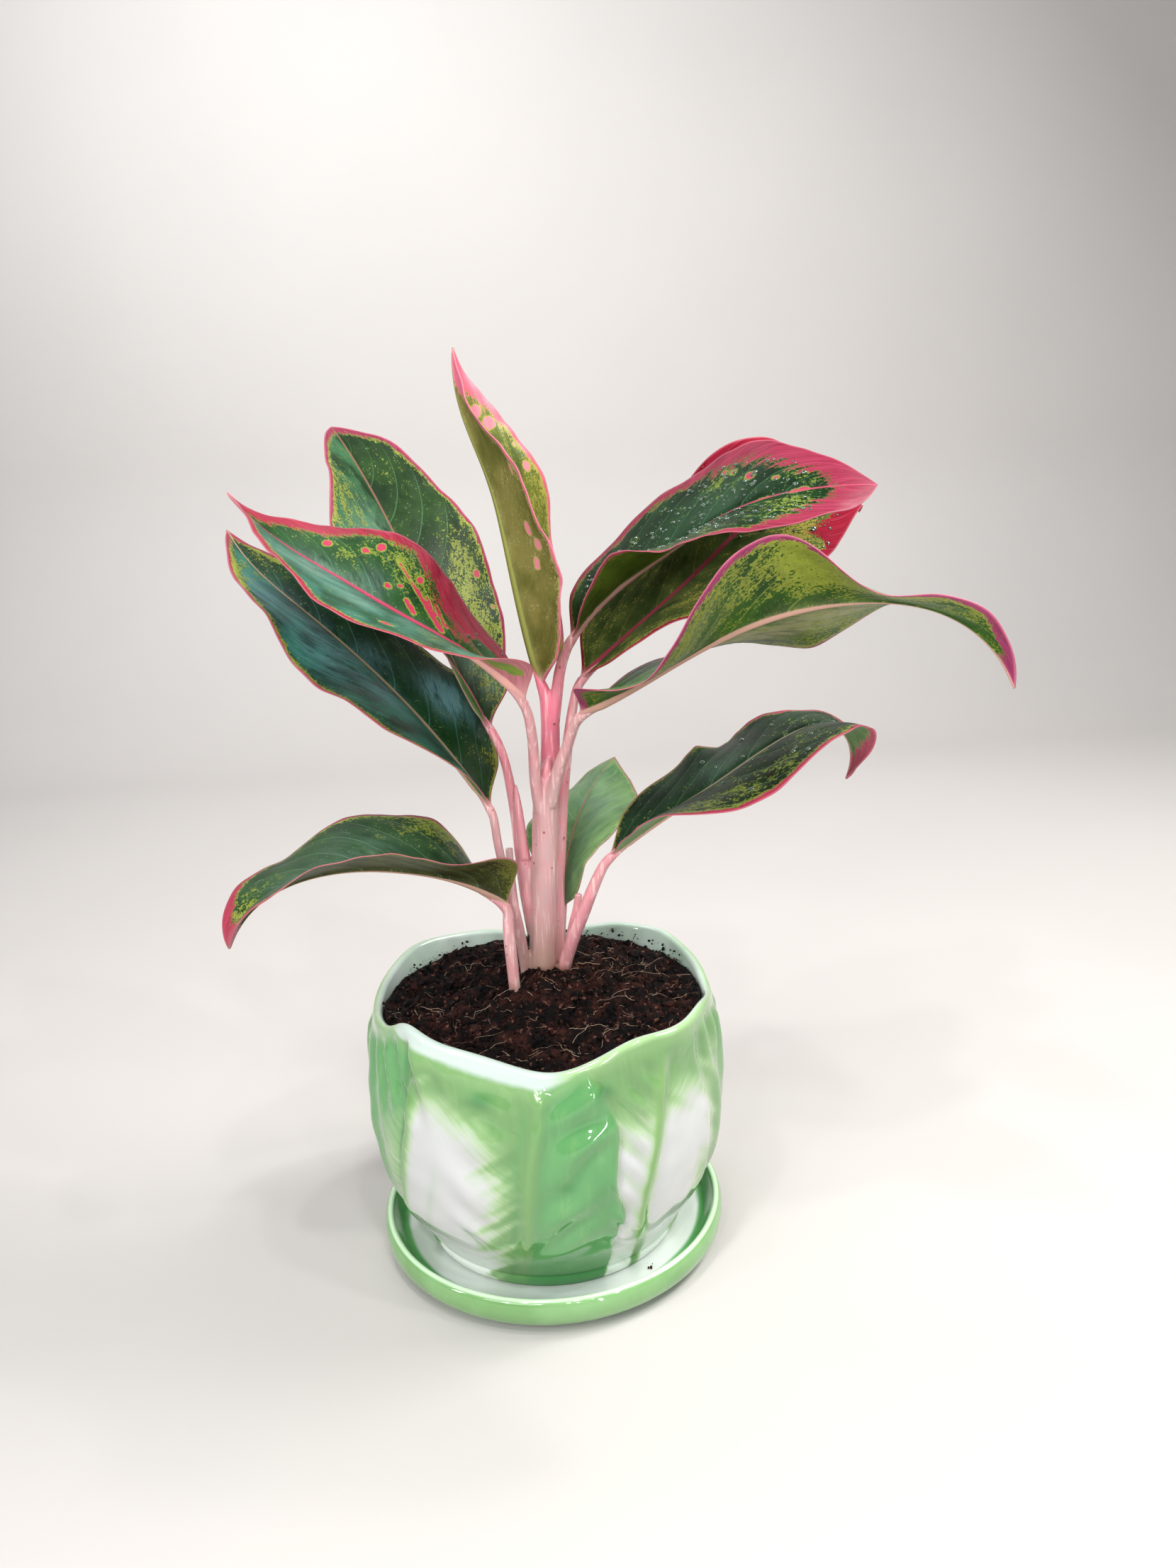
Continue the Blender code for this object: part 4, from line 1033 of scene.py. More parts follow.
CANE = ([(0.3, 6, 84), (0.5, 6, 96), (1.0, 5.5, 108), (2.2, 5, 125), (3.6, 4.5, 146),
         (4.8, 4.2, 163), (5.6, 4.5, 172)],
        (4.8, 5.0, 4.8, 4.5, 4.5, 4.3, 3.2))
STALKS = {
    "leaf_left_middle": ([(2.6, 2.4, 158), (1.4, 0, 170), (1.4, -3, 183)], (2.2, 2.0, 1.8, 1.6)),
    "leaf_right_front": ([(6.0, 2, 160), (9.4, -1.5, 173), (13.0, -5.5, 183)],
                         (2.4, 2.2, 1.9, 1.7)),
    "leaf_spear": ([(6.0, 5.5, 164), (7.2, 7, 179), (7.6, 7.4, 191)], (3.4, 3.3, 3.1, 1.9)),
    "leaf_right_upper": ([(8.0, 6.6, 183), (10.0, 5.6, 196), (11.8, 5, 206)],
                         (2.2, 2.1, 1.9, 1.7)),
    "leaf_right_rear": ([(6.6, 8.6, 90), (6.6, 8.6, 99), (7.2, 8.8, 126), (8.6, 8.6, 142),
                         (10.4, 8.8, 161), (13.4, 9.6, 180), (15.6, 9.6, 192)],
                        (2.3, 2.4, 2.5, 2.5, 2.3, 1.9, 1.7, 1.6)),
    "leaf_left_upper": ([(-1.8, 6.6, 112), (-3.2, 7.2, 127), (-4.4, 7.8, 141), (-5.8, 8.8, 154),
                         (-7.4, 10.0, 167), (-9.0, 10.4, 176)],
                        (2.6, 3.0, 2.7, 2.0, 1.7, 1.6, 1.6)),
    "leaf_left_lower": ([(-5.6, 4.4, 90), (-5.6, 4.2, 99), (-6.4, 2.2, 110), (-7.6, -0.2, 121),
                         (-10.0, -3.2, 136), (-12.2, -5.4, 149)],
                        (1.9, 1.9, 2.0, 1.8, 1.6, 1.5, 1.5)),
    "leaf_right_low": ([(7.8, 4.8, 90), (8.2, 4.4, 99), (11.6, 1.4, 111), (15.4, -1.2, 121),
                        (19.2, -3.2, 131)],
                       (2.3, 2.4, 2.4, 2.3, 2.1, 1.7)),
    "leaf_young": ([(7.1, 9.6, 102), (7.6, 12.4, 106), (8.4, 15.0, 111)], (1.7, 1.7, 1.5, 1.4)),
}
STUBS = {
    "stub_right": ([(9.2, 4.4, 102), (11.4, 3.6, 113), (13.4, 3.0, 121), (14.4, 2.8, 127)],
                   (1.8, 1.7, 1.5, 1.3)),
    "stub_left": ([(-6.6, 2.6, 110), (-7.8, 3.4, 122), (-8.6, 3.4, 134), (-8.8, 3.4, 145)],
                  (1.3, 1.4, 1.4, 1.3)),
    "sheath_tip": ([(-3.8, 6.4, 140), (-4.4, 6.0, 150), (-4.9, 5.8, 160), (-5.3, 5.8, 167)],
                   (2.0, 1.8, 1.3, 0.5)),
    "sheath_collar": ([(4.4, 3.6, 160), (5.4, 3.0, 171), (6.2, 2.7, 176)], (2.8, 2.2, 0.8)),
}
FRONT_STALK = ([(-8.4, -9.2, 86), (-9.4, -9.6, 97), (-9.8, -9.0, 107), (-10.2, -8.2, 114),
                (-10.4, -7.3, 120.5)],
               (2.0, 2.0, 2.1, 2.1, 2.0, 1.7))
# How pink each stalk is at its foot and at its top
BLUSH = dict(cane=(0.08, 0.38), leaf_left_middle=(0.35, 0.40), leaf_right_front=(0.25, 0.35),
             leaf_spear=(0.95, 1.0), leaf_right_upper=(0.9, 0.45), leaf_right_rear=(0.45, 0.5),
             leaf_left_upper=(0.45, 0.75), leaf_left_lower=(0.25, 0.40),
             leaf_right_low=(0.5, 0.55), leaf_young=(0.5, 0.6), stub_right=(0.55, 0.45),
             stub_left=(0.2, 0.15), sheath_tip=(0.5, 0.55), sheath_collar=(0.6, 0.8),
             leaf_left_low=(0.35, 0.45))
# How far a stalk runs on under its blade, in how many steps, and how often the bend there
# is smoothed
LEAF_GRIP = 13.0
GRIP_STEPS = 5
GRIP_SMOOTHING = 7
STALK_SIDES = 20


def stalk_path(points, radii, leaf=None):
    """Fine centre points and radii; a leaf's stalk runs on under its midrib for a little."""
    path = [Vector(p) for p in points]
    if leaf:
        path.append(Vector(leaf["base"]))
    stretches = 8 * (len(path) - 1)
    ts = [k / stretches for k in range(stretches + 1)]
    centres = [smooth_value(path, t) for t in ts]
    widths = [smooth_value(radii, t) for t in ts]
    if leaf is None:
        return centres, widths
    last = widths[-1]
    spot = Vector(leaf["base"])
    for k in range(1, GRIP_STEPS + 1):
        along, _, face = leaf_frame(leaf, k / GRIP_STEPS * LEAF_GRIP / leaf["length"])
        spot = spot + along * (LEAF_GRIP / GRIP_STEPS)
        centres.append(spot - face * (0.2 + 0.9 * k / GRIP_STEPS))
        widths.append(last * (1.0 - 0.74 * k / GRIP_STEPS))
    for _ in range(GRIP_SMOOTHING):
        middle = [(a + b * 2 + c) / 4 for a, b, c in zip(centres, centres[1:], centres[2:])]
        centres = [centres[0]] + middle + [centres[-1]]
    return centres, widths


def tube_mesh(centres, widths, sides):
    """Rings of points along a path, closed with rounded ends."""
    rows = [[tuple(centres[0])]]
    across = Vector((1.0, 0.0, 0.0))
    count = len(centres)
    for k, (centre, radius) in enumerate(zip(centres, widths)):
        along = (centres[min(k + 1, count - 1)] - centres[max(k - 1, 0)]).normalized()
        across = (across - along * across.dot(along)).normalized()
        other = along.cross(across)
        turns = [2 * math.pi * i / sides for i in range(sides)]
        rows.append([tuple(centre + (across * math.cos(a) + other * math.sin(a)) * radius)
                     for a in turns])
    rows.append([tuple(centres[-1])])
    return lathe(rows)


def blended(name, tubes, voxel, smoothing=6):
    """Melt tubes into one skin on a fine grid."""
    vertices = []
    faces = []
    for centres, widths in tubes:
        points, quads = tube_mesh(centres, widths, STALK_SIDES)
        start = len(vertices)
        vertices += points
        faces += [tuple(i + start for i in quad) for quad in quads]
    rough = mesh_piece(name + "_rough", vertices, faces, [])
    melt = rough.modifiers.new("melt", "REMESH")
    melt.mode = "VOXEL"
    melt.voxel_size = voxel
    soften = rough.modifiers.new("soften", "SMOOTH")
    soften.factor = 0.5
    soften.iterations = smoothing
    return flatten(rough, name)


def mesh_points(mesh):
    """A mesh's points as rows of numbers."""
    places = np.empty(len(mesh.vertices) * 3)
    mesh.vertices.foreach_get("co", places)
    return places.reshape(-1, 3)


def set_blush(piece, tubes, blushes):
    """Store how pink each point is, blended between the stalks near it."""
    middles = []
    shades = []
    for (centres, widths), (low, high) in zip(tubes, blushes):
        for k, centre in enumerate(centres):
            middles.append((*centre, widths[k]))
            shades.append(low + (high - low) * k / (len(centres) - 1))
    middles = np.array(middles)
    shades = np.array(shades)
    places = mesh_points(piece.data) / MM
    values = np.zeros_like(places)
    batch = 4000
    for start in range(0, len(places), batch):
        chunk = places[start:start + batch]
        gap = np.linalg.norm(chunk[:, None, :] - middles[None, :, :3], axis=2) - middles[:, 3]
        weight = np.exp(-np.maximum(gap - gap.min(axis=1, keepdims=True), 0) / 0.6)
        weight /= weight.sum(axis=1, keepdims=True)
        values[start:start + batch, 0] = weight @ shades
    layer = piece.data.attributes.new("stalk", "FLOAT_VECTOR", "POINT")
    layer.data.foreach_set("vector", values.astype(np.float32).ravel())


def stalk_finish(settings):
    """Wet pink flesh with fine lines, painted pale highlight streaks along them, red-brown specks
    and a straw foot.
    """
    s = Shader("stalk flesh")
    blush, _, _ = s.split("stalk")
    place = s.place()
    z = s.node("ShaderNodeSeparateXYZ", {0: place}).outputs[2]
    drawn = s.stretched(place, (1.0, 1.0, 0.05))
    lines = s.noise(drawn, 900.0, 5.0, 0.6)
    clouds = s.noise(place, 90.0, 3.0, 0.5)
    tone = s.add(blush, s.sway(clouds, 0.5))
    tone = s.add(tone, s.sway(lines, 0.75))
    flesh = s.mix(s.ramp(tone, 0.0, 1.0), settings.pale, settings.pink)
    # The palest streaks along the fine lines are painted highlights.
    flesh = s.mix(s.ramp(lines, 0.5, 0.68, 0.0, 0.65), flesh, "efdcd4")
    foot = s.ramp(z, 0.122, 0.097)
    foot = s.scale(foot, s.ramp(s.add(clouds, s.scale(lines, 0.4)), 0.3, 0.75, 0.35, 1.0))
    foot = s.scale(foot, s.ramp(blush, 0.45, 0.05, 0.25, 1.0))
    flesh = s.mix(s.scale(foot, 0.9), flesh, settings.straw)
    soiled = s.scale(s.ramp(z, 0.1025, 0.0985), s.ramp(clouds, 0.3, 0.6))
    flesh = s.mix(s.scale(soiled, 0.7), flesh, "6a3f28")
    dots = s.cells(place, 260.0)
    pick = s.noise(place, 60.0, 2.0)
    dots = s.scale(s.ramp(dots, 0.14, 0.09), s.ramp(pick, 0.46, 0.52))
    flesh = s.mix(s.scale(dots, 0.85), flesh, "8a3b3a")
    scar = s.scale(s.ramp(s.noise(drawn, 420.0, 3.0, 0.7), 0.66, 0.72), s.ramp(pick, 0.5, 0.6))
    flesh = s.mix(s.scale(scar, 0.35), flesh, "b06a58")
    normal = s.relief(s.add(lines, s.scale(dots, -0.6)), 0.00012, 0.5)
    return s.finish(flesh, s.ramp(lines, 0.3, 0.7, 0.28, 0.42), normal,
                    flesh=0.25, flesh_radius=(0.004, 0.0015, 0.001), flesh_scale=0.4,
                    coat=0.35, coat_rough=0.18)


class PLANT_OT_stalks(bpy.types.Operator):
    """Melt the cane, its stalks, stubs and sheaths into one skin."""
    bl_idname = "plant.stalks"
    bl_label = "Stalks"

    def execute(self, context):
        settings = context.scene.plant_stalks
        material = stalk_finish(settings)
        tubes = [stalk_path(*CANE)]
        blushes = [BLUSH["cane"]]
        for name, (points, radii) in {**STALKS, **STUBS}.items():
            tubes.append(stalk_path(points, radii, LEAVES.get(name)))
            blushes.append(BLUSH[name])
        stem = blended("stalks", tubes, settings.voxel)
        front = [stalk_path(*FRONT_STALK, LEAVES["leaf_left_low"])]
        lone = blended("front_stalk", front, settings.voxel, 3)
        groups = ((stem, tubes, blushes, "stem"),
                  (lone, front, [BLUSH["leaf_left_low"]], "stalk_left_front"))
        for piece, paths, shades, node in groups:
            set_blush(piece, paths, shades)
            piece.data.materials.clear()
            piece.data.materials.append(material)
            piece.data.shade_smooth()
            hand_over(piece, node)
        return {"FINISHED"}


# Pot: the solid's own formulas, with the moulded leaves drawn finer

SAUCER_HEIGHT = 13.0
SAUCER_RADIUS = 62.0
SAUCER_FLOOR = 6.3
SAUCER_BASE_RADIUS = 52.0
GAP = 0.3
POT_FOOT_RADIUS = 46.0
POT_FOOT_BAND = 5.0
POT_RIM_HEIGHT = 96.0
POT_WALL_BOTTOM = 16.0
RIM_THICKNESS = 3.4
LEAF_MIDRIBS = (-128.0, -46.0, 42.0, 140.0)
LEAF_EDGES = (-92.0, 0.0, 90.0, -176.0)
RIM_TIPS = ((-137.0, 6.6, 12.0), (-120.0, 4.0, 16.0), (-48.0, 2.6, 20.0), (-62.0, 1.6, 10.0),
            (40.0, 2.0, 16.0), (140.0, 2.2, 20.0), (58.0, 0.8, 8.0), (-25.0, 1.0, 12.0))
RIM_VALLEYS = ((-88.0, 3.2, 13.0), (-4.0, 3.4, 14.0), (88.0, 4.6, 16.0), (182.0, 2.0, 16.0))
BELLY = (47.2, 50.8, 54.8, 57.8, 59.8, 61.3, 62.1, 62.5, 62.5, 62.2, 61.6, 60.9, 60.2, 59.7)
CAVITY = (45.0, 53.5, 56.8, 57.6, 57.2, 56.4, 55.6)
CAVITY_TOP = 94.0
# How far below its top the rim begins to round over
LIP_DEPTH = 1.8
# Fineness of the wall and of the saucer
WALL_LEVELS = 110
SAUCER_SIDES = 160
SAUCER_STEPS = 40


def rim_height(direction):
    """Height of the waved rim in a direction."""
    height = POT_RIM_HEIGHT - 0.6
    for place, rise, width in RIM_TIPS:
        height += rise * bump(angle_gap(direction, place), width)
    for place, drop, width in RIM_VALLEYS:
        height -= drop * bump(angle_gap(direction, place), width)
    return height


# Lines of the moulded leaves on the wall: directions at even heights between the two given
LINE_HEIGHTS = (6.0, 105.0)
WALL_LINES = (
    # The front leaf's midrib, left edge and right edge, and its neighbour's olive midrib
    (-106, -103, -100, -98.2, -97.2, -96.6, -94.4, -93, -91.5, -90),
    (-154, -151, -148, -145, -142, -139.5, -137, -135, -134, -133),
    (-71, -70, -71.5, -68.5, -71.5, -71, -70.5, -74, -79, -84),
    (-57, -58, -61.5, -62.5, -61.2, -58.8, -56.4, -54.6, -53, -51),
)
FRONT = -80.0


def pattern_side(direction):
    """The wall's front and back carry the same pattern; the direction within it."""
    local = angle_gap(direction, FRONT)
    if abs(local) > 90.0:
        local = angle_gap(direction, FRONT + 180.0)
    return local


def line_gaps(local, height):
    """Degrees past each of the moulded lines at a height."""
    low, high = LINE_HEIGHTS
    share = (height - low) / (high - low)
    return [local + FRONT - smooth_value(line, share) for line in WALL_LINES]


def vein_waves(rib, olive, height):
    """Waves that draw the front leaf's side veins and its neighbour's fan."""
    sway = 9.0 * wander(height * 0.05, rib * 0.05, 41.0)
    veins = math.sin(2 * math.pi * (height - 0.75 * abs(rib) + sway) / 17.0)
    fan = math.sin(2 * math.pi * (height - 1.1 * abs(olive)) / 9.5)
    return veins, fan


def step_up(value, width):
    """0 below the step, 1 above it."""
    return ramp(value, -width, width)


def wall_relief(direction, height):
    """How far the moulded leaves stand out of the belly."""
    low = ramp(height, 14.0, 38.0)
    local = pattern_side(direction)
    rib, left, right, olive = line_gaps(local, height)
    veins, fan = vein_waves(rib, olive, height)
    fade = 1.0 - ramp(height, 82.0, 96.0)
    relief = 1.0 * bump(rib, 2.1) * fade - 0.75 * bump(rib + 4.6, 2.4) * fade
    relief += 0.35 * bump(rib - 5.0, 2.6) * -fade
    centre = step_up(left, 1.1) * (1.0 - step_up(right, 0.9))
    relief += 1.05 * centre * (1.0 - ramp(left, 0.0, 26.0) * 0.5)
    relief -= 0.7 * bump(left + 2.4, 2.0) + 0.8 * bump(right - 1.9, 1.6) * fade
    relief += 0.8 * bump(olive, 2.2) * fade - 0.35 * bump(olive - 4.5, 2.2) * fade
    relief += 0.55 * veins * bump(rib - 13.0, 8.5) * fade
    relief += 0.36 * veins * bump(rib + 17.0, 9.0) * fade
    relief += 0.45 * fan * bump(olive + 7.0, 4.5) * fade
    high = ramp(height, 66.0, 84.0) * (1.0 - 0.6 * ramp(height, 88.0, 98.0))
    for place, spread in ((-141.0, 15.0), (-24.0, 14.0), (8.0, 10.0)):
        away = local + FRONT - place
        folds = math.sin(2 * math.pi * (away + 0.2 * (height - 90.0)) / 9.5)
        relief += 0.95 * folds * bump(away, spread) * high
    outer = bump(local - 62.0, 17.0) + bump(local + 84.0, 12.0)
    tall = math.sin(2 * math.pi * (local + 0.16 * height) / 13.0)
    relief += 0.6 * outer * tall * fade
    relief += 0.35 * wander(direction * 0.11, height * 0.11, 8.0)
    return 1.6 * low * relief


def wall_radius(direction, height):
    """Outside radius of the pot at a height over the table."""
    foot = SAUCER_FLOOR + GAP
    share = (height - foot - POT_FOOT_BAND) / (POT_RIM_HEIGHT - foot - POT_FOOT_BAND)
    radius = smooth_value(BELLY, min(max(share, 0.0), 1.0))
    flare = sum(bump(angle_gap(direction, m), 13.0) for m in LEAF_MIDRIBS)
    tuck = sum(bump(angle_gap(direction, e), 15.0) for e in LEAF_EDGES)
    radius += ramp(height, 74.0, 100.0) * (2.4 * flare - 1.0 * tuck)
    calm = ramp(rim_height(direction) - height, 1.8, 9.0)
    return radius + wall_relief(direction, height) * calm


def cavity_radius(height):
    """Inside radius of the pot, round at every height."""
    return smooth_value(CAVITY, (height - POT_WALL_BOTTOM) / (CAVITY_TOP - POT_WALL_BOTTOM))


def paint(direction, height):
    """Amounts of white, olive and deep (glaze pools and painted shade), then the lip and the sea
    green, then brush lines.
    """
    local = pattern_side(direction)
    rib, left, right, olive = line_gaps(local, height)
    veins, fan = vein_waves(rib, olive, height)
    stroke = wander(height * 0.22 + 0.16 * abs(rib), left * 0.03, 21.0)
    top = 1.0 - ramp(height + 7.0 * stroke, 56.0, 86.0)
    slant = height + 7.0 * stroke - 0.5 * min(max(-rib, 0.0), 36.0)
    first = ramp(left, 0.0, 7.0) * ramp(-rib + 9.0 * stroke, 0.0, 21.0)
    first *= 1.0 - ramp(slant, 52.0, 76.0)
    second = ramp(right, -0.3, 1.2) * (1.0 - ramp(olive, -2.0, 0.0)) * top
    second *= 0.74 + 0.26 * (0.5 + 0.5 * fan)
    third_top = 1.0 - ramp(height + 7.0 * stroke, 60.0, 88.0)
    third = ramp(olive, 0.5, 6.0) * (1.0 - ramp(olive + 6.0 * stroke, 18.0, 40.0)) * third_top
    faint = 0.40 * ramp(left, -1.0, -4.0) * (1.0 - ramp(-left, 6.0, 20.0)) * top
    white = max(first, second, third, faint)
    vein = bump(olive, 2.3) * ramp(height, 10.0, 22.0) * (1.0 - ramp(height, 84.0, 93.0))
    vein = max(vein, 0.3 * bump(rib - 0.4, 1.5) * (1.0 - ramp(height, 82.0, 90.0)))
    green_side = bump(left - 11.5 - 0.05 * height, 1.6) * ramp(height, 8.0, 20.0)
    vein = max(vein, 0.35 * green_side * (1.0 - ramp(height, 40.0, 66.0)))
    deep = 0.5 * bump(rib + 4.2, 1.9) * (1.0 - ramp(height, 76.0, 88.0))
    deep = max(deep, 0.75 * bump(left + 2.0, 1.5), 0.7 * bump(right - 1.2, 1.3) * top)
    # A darker band just inside the front leaf's right edge is painted shade, added to the deep
    # glaze.
    shadow = bump(right + 5.0, 7.0) * ramp(height, 20.0, 36.0) * (1.0 - ramp(height, 56.0, 78.0))
    deep = max(deep, 0.45 * shadow)
    for place, level, size in ((-110.0, 84.5, 4.6), (-73.5, 84.5, 4.2), (-86.0, 55.0, 4.0)):
        gap = math.hypot(local + FRONT - place, (height - level) * 1.2)
        deep = max(deep, 0.75 * bump(gap, size))
    deep = max(deep, (1.0 - ramp(height, 10.0, 16.0)) * bump(local + 6.0, 26.0))
    grooves = ramp(-veins, 0.2, 1.0) * (bump(rib - 14.0, 8.0) + 0.5 * bump(rib + 14.0, 7.0))
    deep = max(deep, 0.5 * grooves * (1.0 - ramp(height, 80.0, 92.0)))
    sea = ramp(rib, -4.0, 6.0) * (1.0 - step_up(right, 1.0))
    sea = max(sea, 0.9 * ramp(left, 0.0, -4.0), 0.5 * ramp(local, 52.0, 70.0))
    wide = ramp(local, -66.0, -56.0) * (1.0 - ramp(local, -16.0, 2.0))
    lip = 0.6 + 4.6 * wide + 0.6 * wander(direction * 0.05, 0.0, 30.0)
    comb = height - (1.1 * abs(olive) if rib > 16.0 else 0.9 * abs(rib))
    return (white, vein, deep), (wide, min(sea, 1.0), lip), (comb, local, 0.0)


def make_pot(settings, material):
    """The waved, moulded wall with its rounded lip, cavity and foot."""
    columns = settings.columns
    foot = SAUCER_FLOOR + GAP
    band_top = foot + POT_FOOT_BAND
    directions = [360.0 * i / columns for i in range(columns)]
    rims = [rim_height(d) for d in directions]
    rows = []
    facts = dict(wall=[], glaze=[], tone=[], brush=[])

    def note(*values):
        for store, value in zip(facts.values(), values):
            store.append(value)

    def put(polar, inside=0.0):
        row = []
        for d, (radius, height), rim in zip(directions, polar, rims):
            row.append(polar_point(radius, math.radians(d), height))
            note((inside, height, rim - height), *paint(d, height))
        rows.append(row)

    def cap(height):
        rows.append([(0.0, 0.0, height)])
        note((1.0, height, 90.0), (1.0, 0.0, 0.0), (0.0, 0.0, 2.0), (0.0, 0.0, 0.0))

    cap(foot)
    for wider, height in ((-1.2, foot), (-0.3, foot + 0.3), (0.0, foot + 1.0),
                          (0.9, foot + 2.8), (1.2, band_top - 0.6), (0.7, band_top)):
        put([(POT_FOOT_RADIUS + wider, height)] * columns)
    for level in range(WALL_LEVELS + 1):
        share = level / WALL_LEVELS
        polar = []
        for d, rim in zip(directions, rims):
            height = band_top + 0.4 + share * (rim - LIP_DEPTH - band_top - 0.4)
            polar.append((wall_radius(d, height), height))
        put(polar)
    for step in range(1, 10):
        turn = math.pi * step / 9
        polar = []
        for d, rim in zip(directions, rims):
            outer = wall_radius(d, rim - LIP_DEPTH)
            radius = outer - RIM_THICKNESS / 2 + RIM_THICKNESS / 2 * math.cos(turn)
            polar.append((radius, rim - LIP_DEPTH + 1.75 * math.sin(turn)))
        put(polar, ramp(step, 3.0, 6.0))
    for height in (89.0, 84.0, 66.0, 40.0, 22.0):
        put([(cavity_radius(height), height)] * columns, 1.0)
    put([(cavity_radius(POT_WALL_BOTTOM) - 2.0, POT_WALL_BOTTOM)] * columns, 1.0)
    cap(POT_WALL_BOTTOM)
    return mesh_piece("glazed_pot", *lathe(rows), [material], None, facts)


def glaze_finish(settings):
    """Brushed green glaze over white, paler on the lip and thick in the grooves, its white painted
    lighter near the foot as painted light.
    """
    s = Shader("leaf glaze")
    inside, height, drop = s.split("wall")
    white, olive, deep = s.split("glaze")
    wide, sea, lip_width = s.split("tone")
    comb, turn, _ = s.split("brush")
    spot = s.place()
    lines = s.join(s.scale(comb, 0.36), s.scale(turn, 0.06), 2.0)
    feather = s.noise(lines, 1.1, 4.0, 0.62, 0.5)
    brush = s.noise(s.stretched(spot, (1.0, 1.0, 0.22)), 260.0, 5.0, 0.62, 0.6)
    cloud = s.noise(spot, 38.0, 4.0, 0.55)
    green = s.mix(s.ramp(s.add(sea, s.sway(cloud, 1.2)), 0.2, 0.9), settings.green, settings.sea)
    green = s.mix(s.ramp(brush, 0.45, 0.8, 0.0, 0.3), green, "88af70")
    green = s.mix(s.ramp(feather, 0.42, 0.22, 0.0, 0.5), green, settings.deep)
    # The deep amount holds glaze pools and also painted shade beside the front leaf's right edge.
    pools = s.add(deep, s.ramp(cloud, 0.60, 0.78, 0.0, 0.25))
    green = s.mix(s.scale(s.ramp(pools, 0.05, 1.0), 0.85), green, settings.deep)
    bare = s.add(white, s.sway(feather, s.ramp(white, 0.0, 0.4, 0.0, 0.65)))
    half = s.mix(s.ramp(bare, 0.0, 0.62), green, "9dbc88")
    # The white is painted lighter towards the foot: painted light against the shade under the
    # belly.
    painted_light_white = s.mix(s.ramp(height, 26.0, 12.0), settings.white, "eff3ee")
    glaze = s.mix(s.ramp(bare, 0.30, 0.95), half, painted_light_white)
    glaze = s.mix(s.scale(olive, 0.6), glaze, "7aa35c")
    glaze = s.mix(s.scale(s.ramp(deep, 0.5, 0.9), 0.35), glaze, settings.deep)
    below = s.add(drop, s.sway(cloud, 5.0))
    past_lip = s.minus(below, lip_width)
    pale = s.ramp(past_lip, 6.5, 0.5)
    glaze = s.mix(s.scale(pale, 0.45), glaze, "8fb478")
    lip = s.ramp(past_lip, 1.4, -0.9)
    edge = s.mix(s.ramp(wide, 0.1, 0.8), "a3c48f", settings.lip)
    glaze = s.mix(lip, glaze, edge)
    mint = s.mix(s.ramp(cloud, 0.35, 0.65), "c9d8cf", "b4ccba")
    glaze = s.mix(inside, glaze, mint)
    uneven = s.scale(s.noise(spot, 75.0, 2.0, 0.5), s.ramp(height, 16.0, 34.0, 0.1, 1.0))
    normal = s.relief(uneven, 0.0005, 0.3)
    rough = s.ramp(height, 15.0, 32.0, 0.42, settings.roughness)
    coat = s.ramp(height, 15.0, 32.0, 0.0, 0.5)
    return s.finish(glaze, rough, normal, coat=coat, coat_rough=0.03)


def saucer_finish(settings):
    """Green glaze, deeper inside, with a painted highlight line along the rim's crest and a pale
    floor.
    """
    s = Shader("saucer glaze")
    radius, height, zone = s.split("dish")
    spot = s.place()
    cloud = s.noise(spot, 40.0, 4.0, 0.55)
    green = s.mix(s.ramp(cloud, 0.35, 0.65), "6e9b5e", "7fab70")
    inside = s.mix(s.ramp(cloud, 0.3, 0.7), "3c8a48", "62a562")
    wall = s.ramp(radius, 59.6, 58.6)
    glaze = s.mix(wall, green, inside)
    # A pale line along the crest of the rim is a painted highlight.
    line = s.scale(s.ramp(height, 12.3, 12.8), s.ramp(radius, 57.8, 58.6))
    glaze = s.mix(s.scale(line, 0.75), glaze, "d5f0cf")
    floor = s.ramp(s.add(radius, s.sway(cloud, 2.0)), 54.2, 52.4)
    glaze = s.mix(s.scale(floor, zone), glaze, "cdd4cf")
    below = s.scale(s.ramp(height, 1.0, 0.2), s.ramp(radius, 55.0, 52.0))
    glaze = s.mix(below, glaze, "dcd8cd")
    normal = s.relief(s.noise(spot, 60.0, 2.0, 0.5), 0.0005, 0.25)
    return s.finish(glaze, settings.roughness, normal, coat=0.4, coat_rough=0.03)


def make_saucer(material):
    """The turned dish, smoother than its solid."""
    r = SAUCER_RADIUS
    h = SAUCER_HEIGHT
    corners = [
        (SAUCER_BASE_RADIUS, 0.0), (r - 7.0, 0.5), (r - 3.6, 2.0), (r - 1.0, 4.6),
        (r, 7.4), (r - 0.1, 10.0), (r - 0.7, 12.0), (r - 1.6, h - 0.2), (r - 2.3, h),
        (r - 3.2, h - 0.6), (r - 4.2, h - 2.4), (r - 5.6, h - 4.6), (r - 7.0, SAUCER_FLOOR + 0.5),
        (r - 9.0, SAUCER_FLOOR),
    ]
    profile = [Vector(c) for c in corners]
    rows = [[(0.0, 0.0, 0.0)]]
    dish = [(0.0, 0.0, 0.0)]
    for k in range(SAUCER_STEPS + 1):
        place = smooth_value(profile, k / SAUCER_STEPS)
        height = min(max(place.y, 0.0), h)
        rows.append(ring(place.x, height, SAUCER_SIDES))
        inside = 1.0 if k > SAUCER_STEPS * 0.55 else 0.0
        dish += [(place.x, height, inside)] * SAUCER_SIDES
    rows.append([(0.0, 0.0, SAUCER_FLOOR)])
    dish.append((0.0, SAUCER_FLOOR, 1.0))
    return mesh_piece("glazed_saucer", *lathe(rows), [material], None, {"dish": dish})


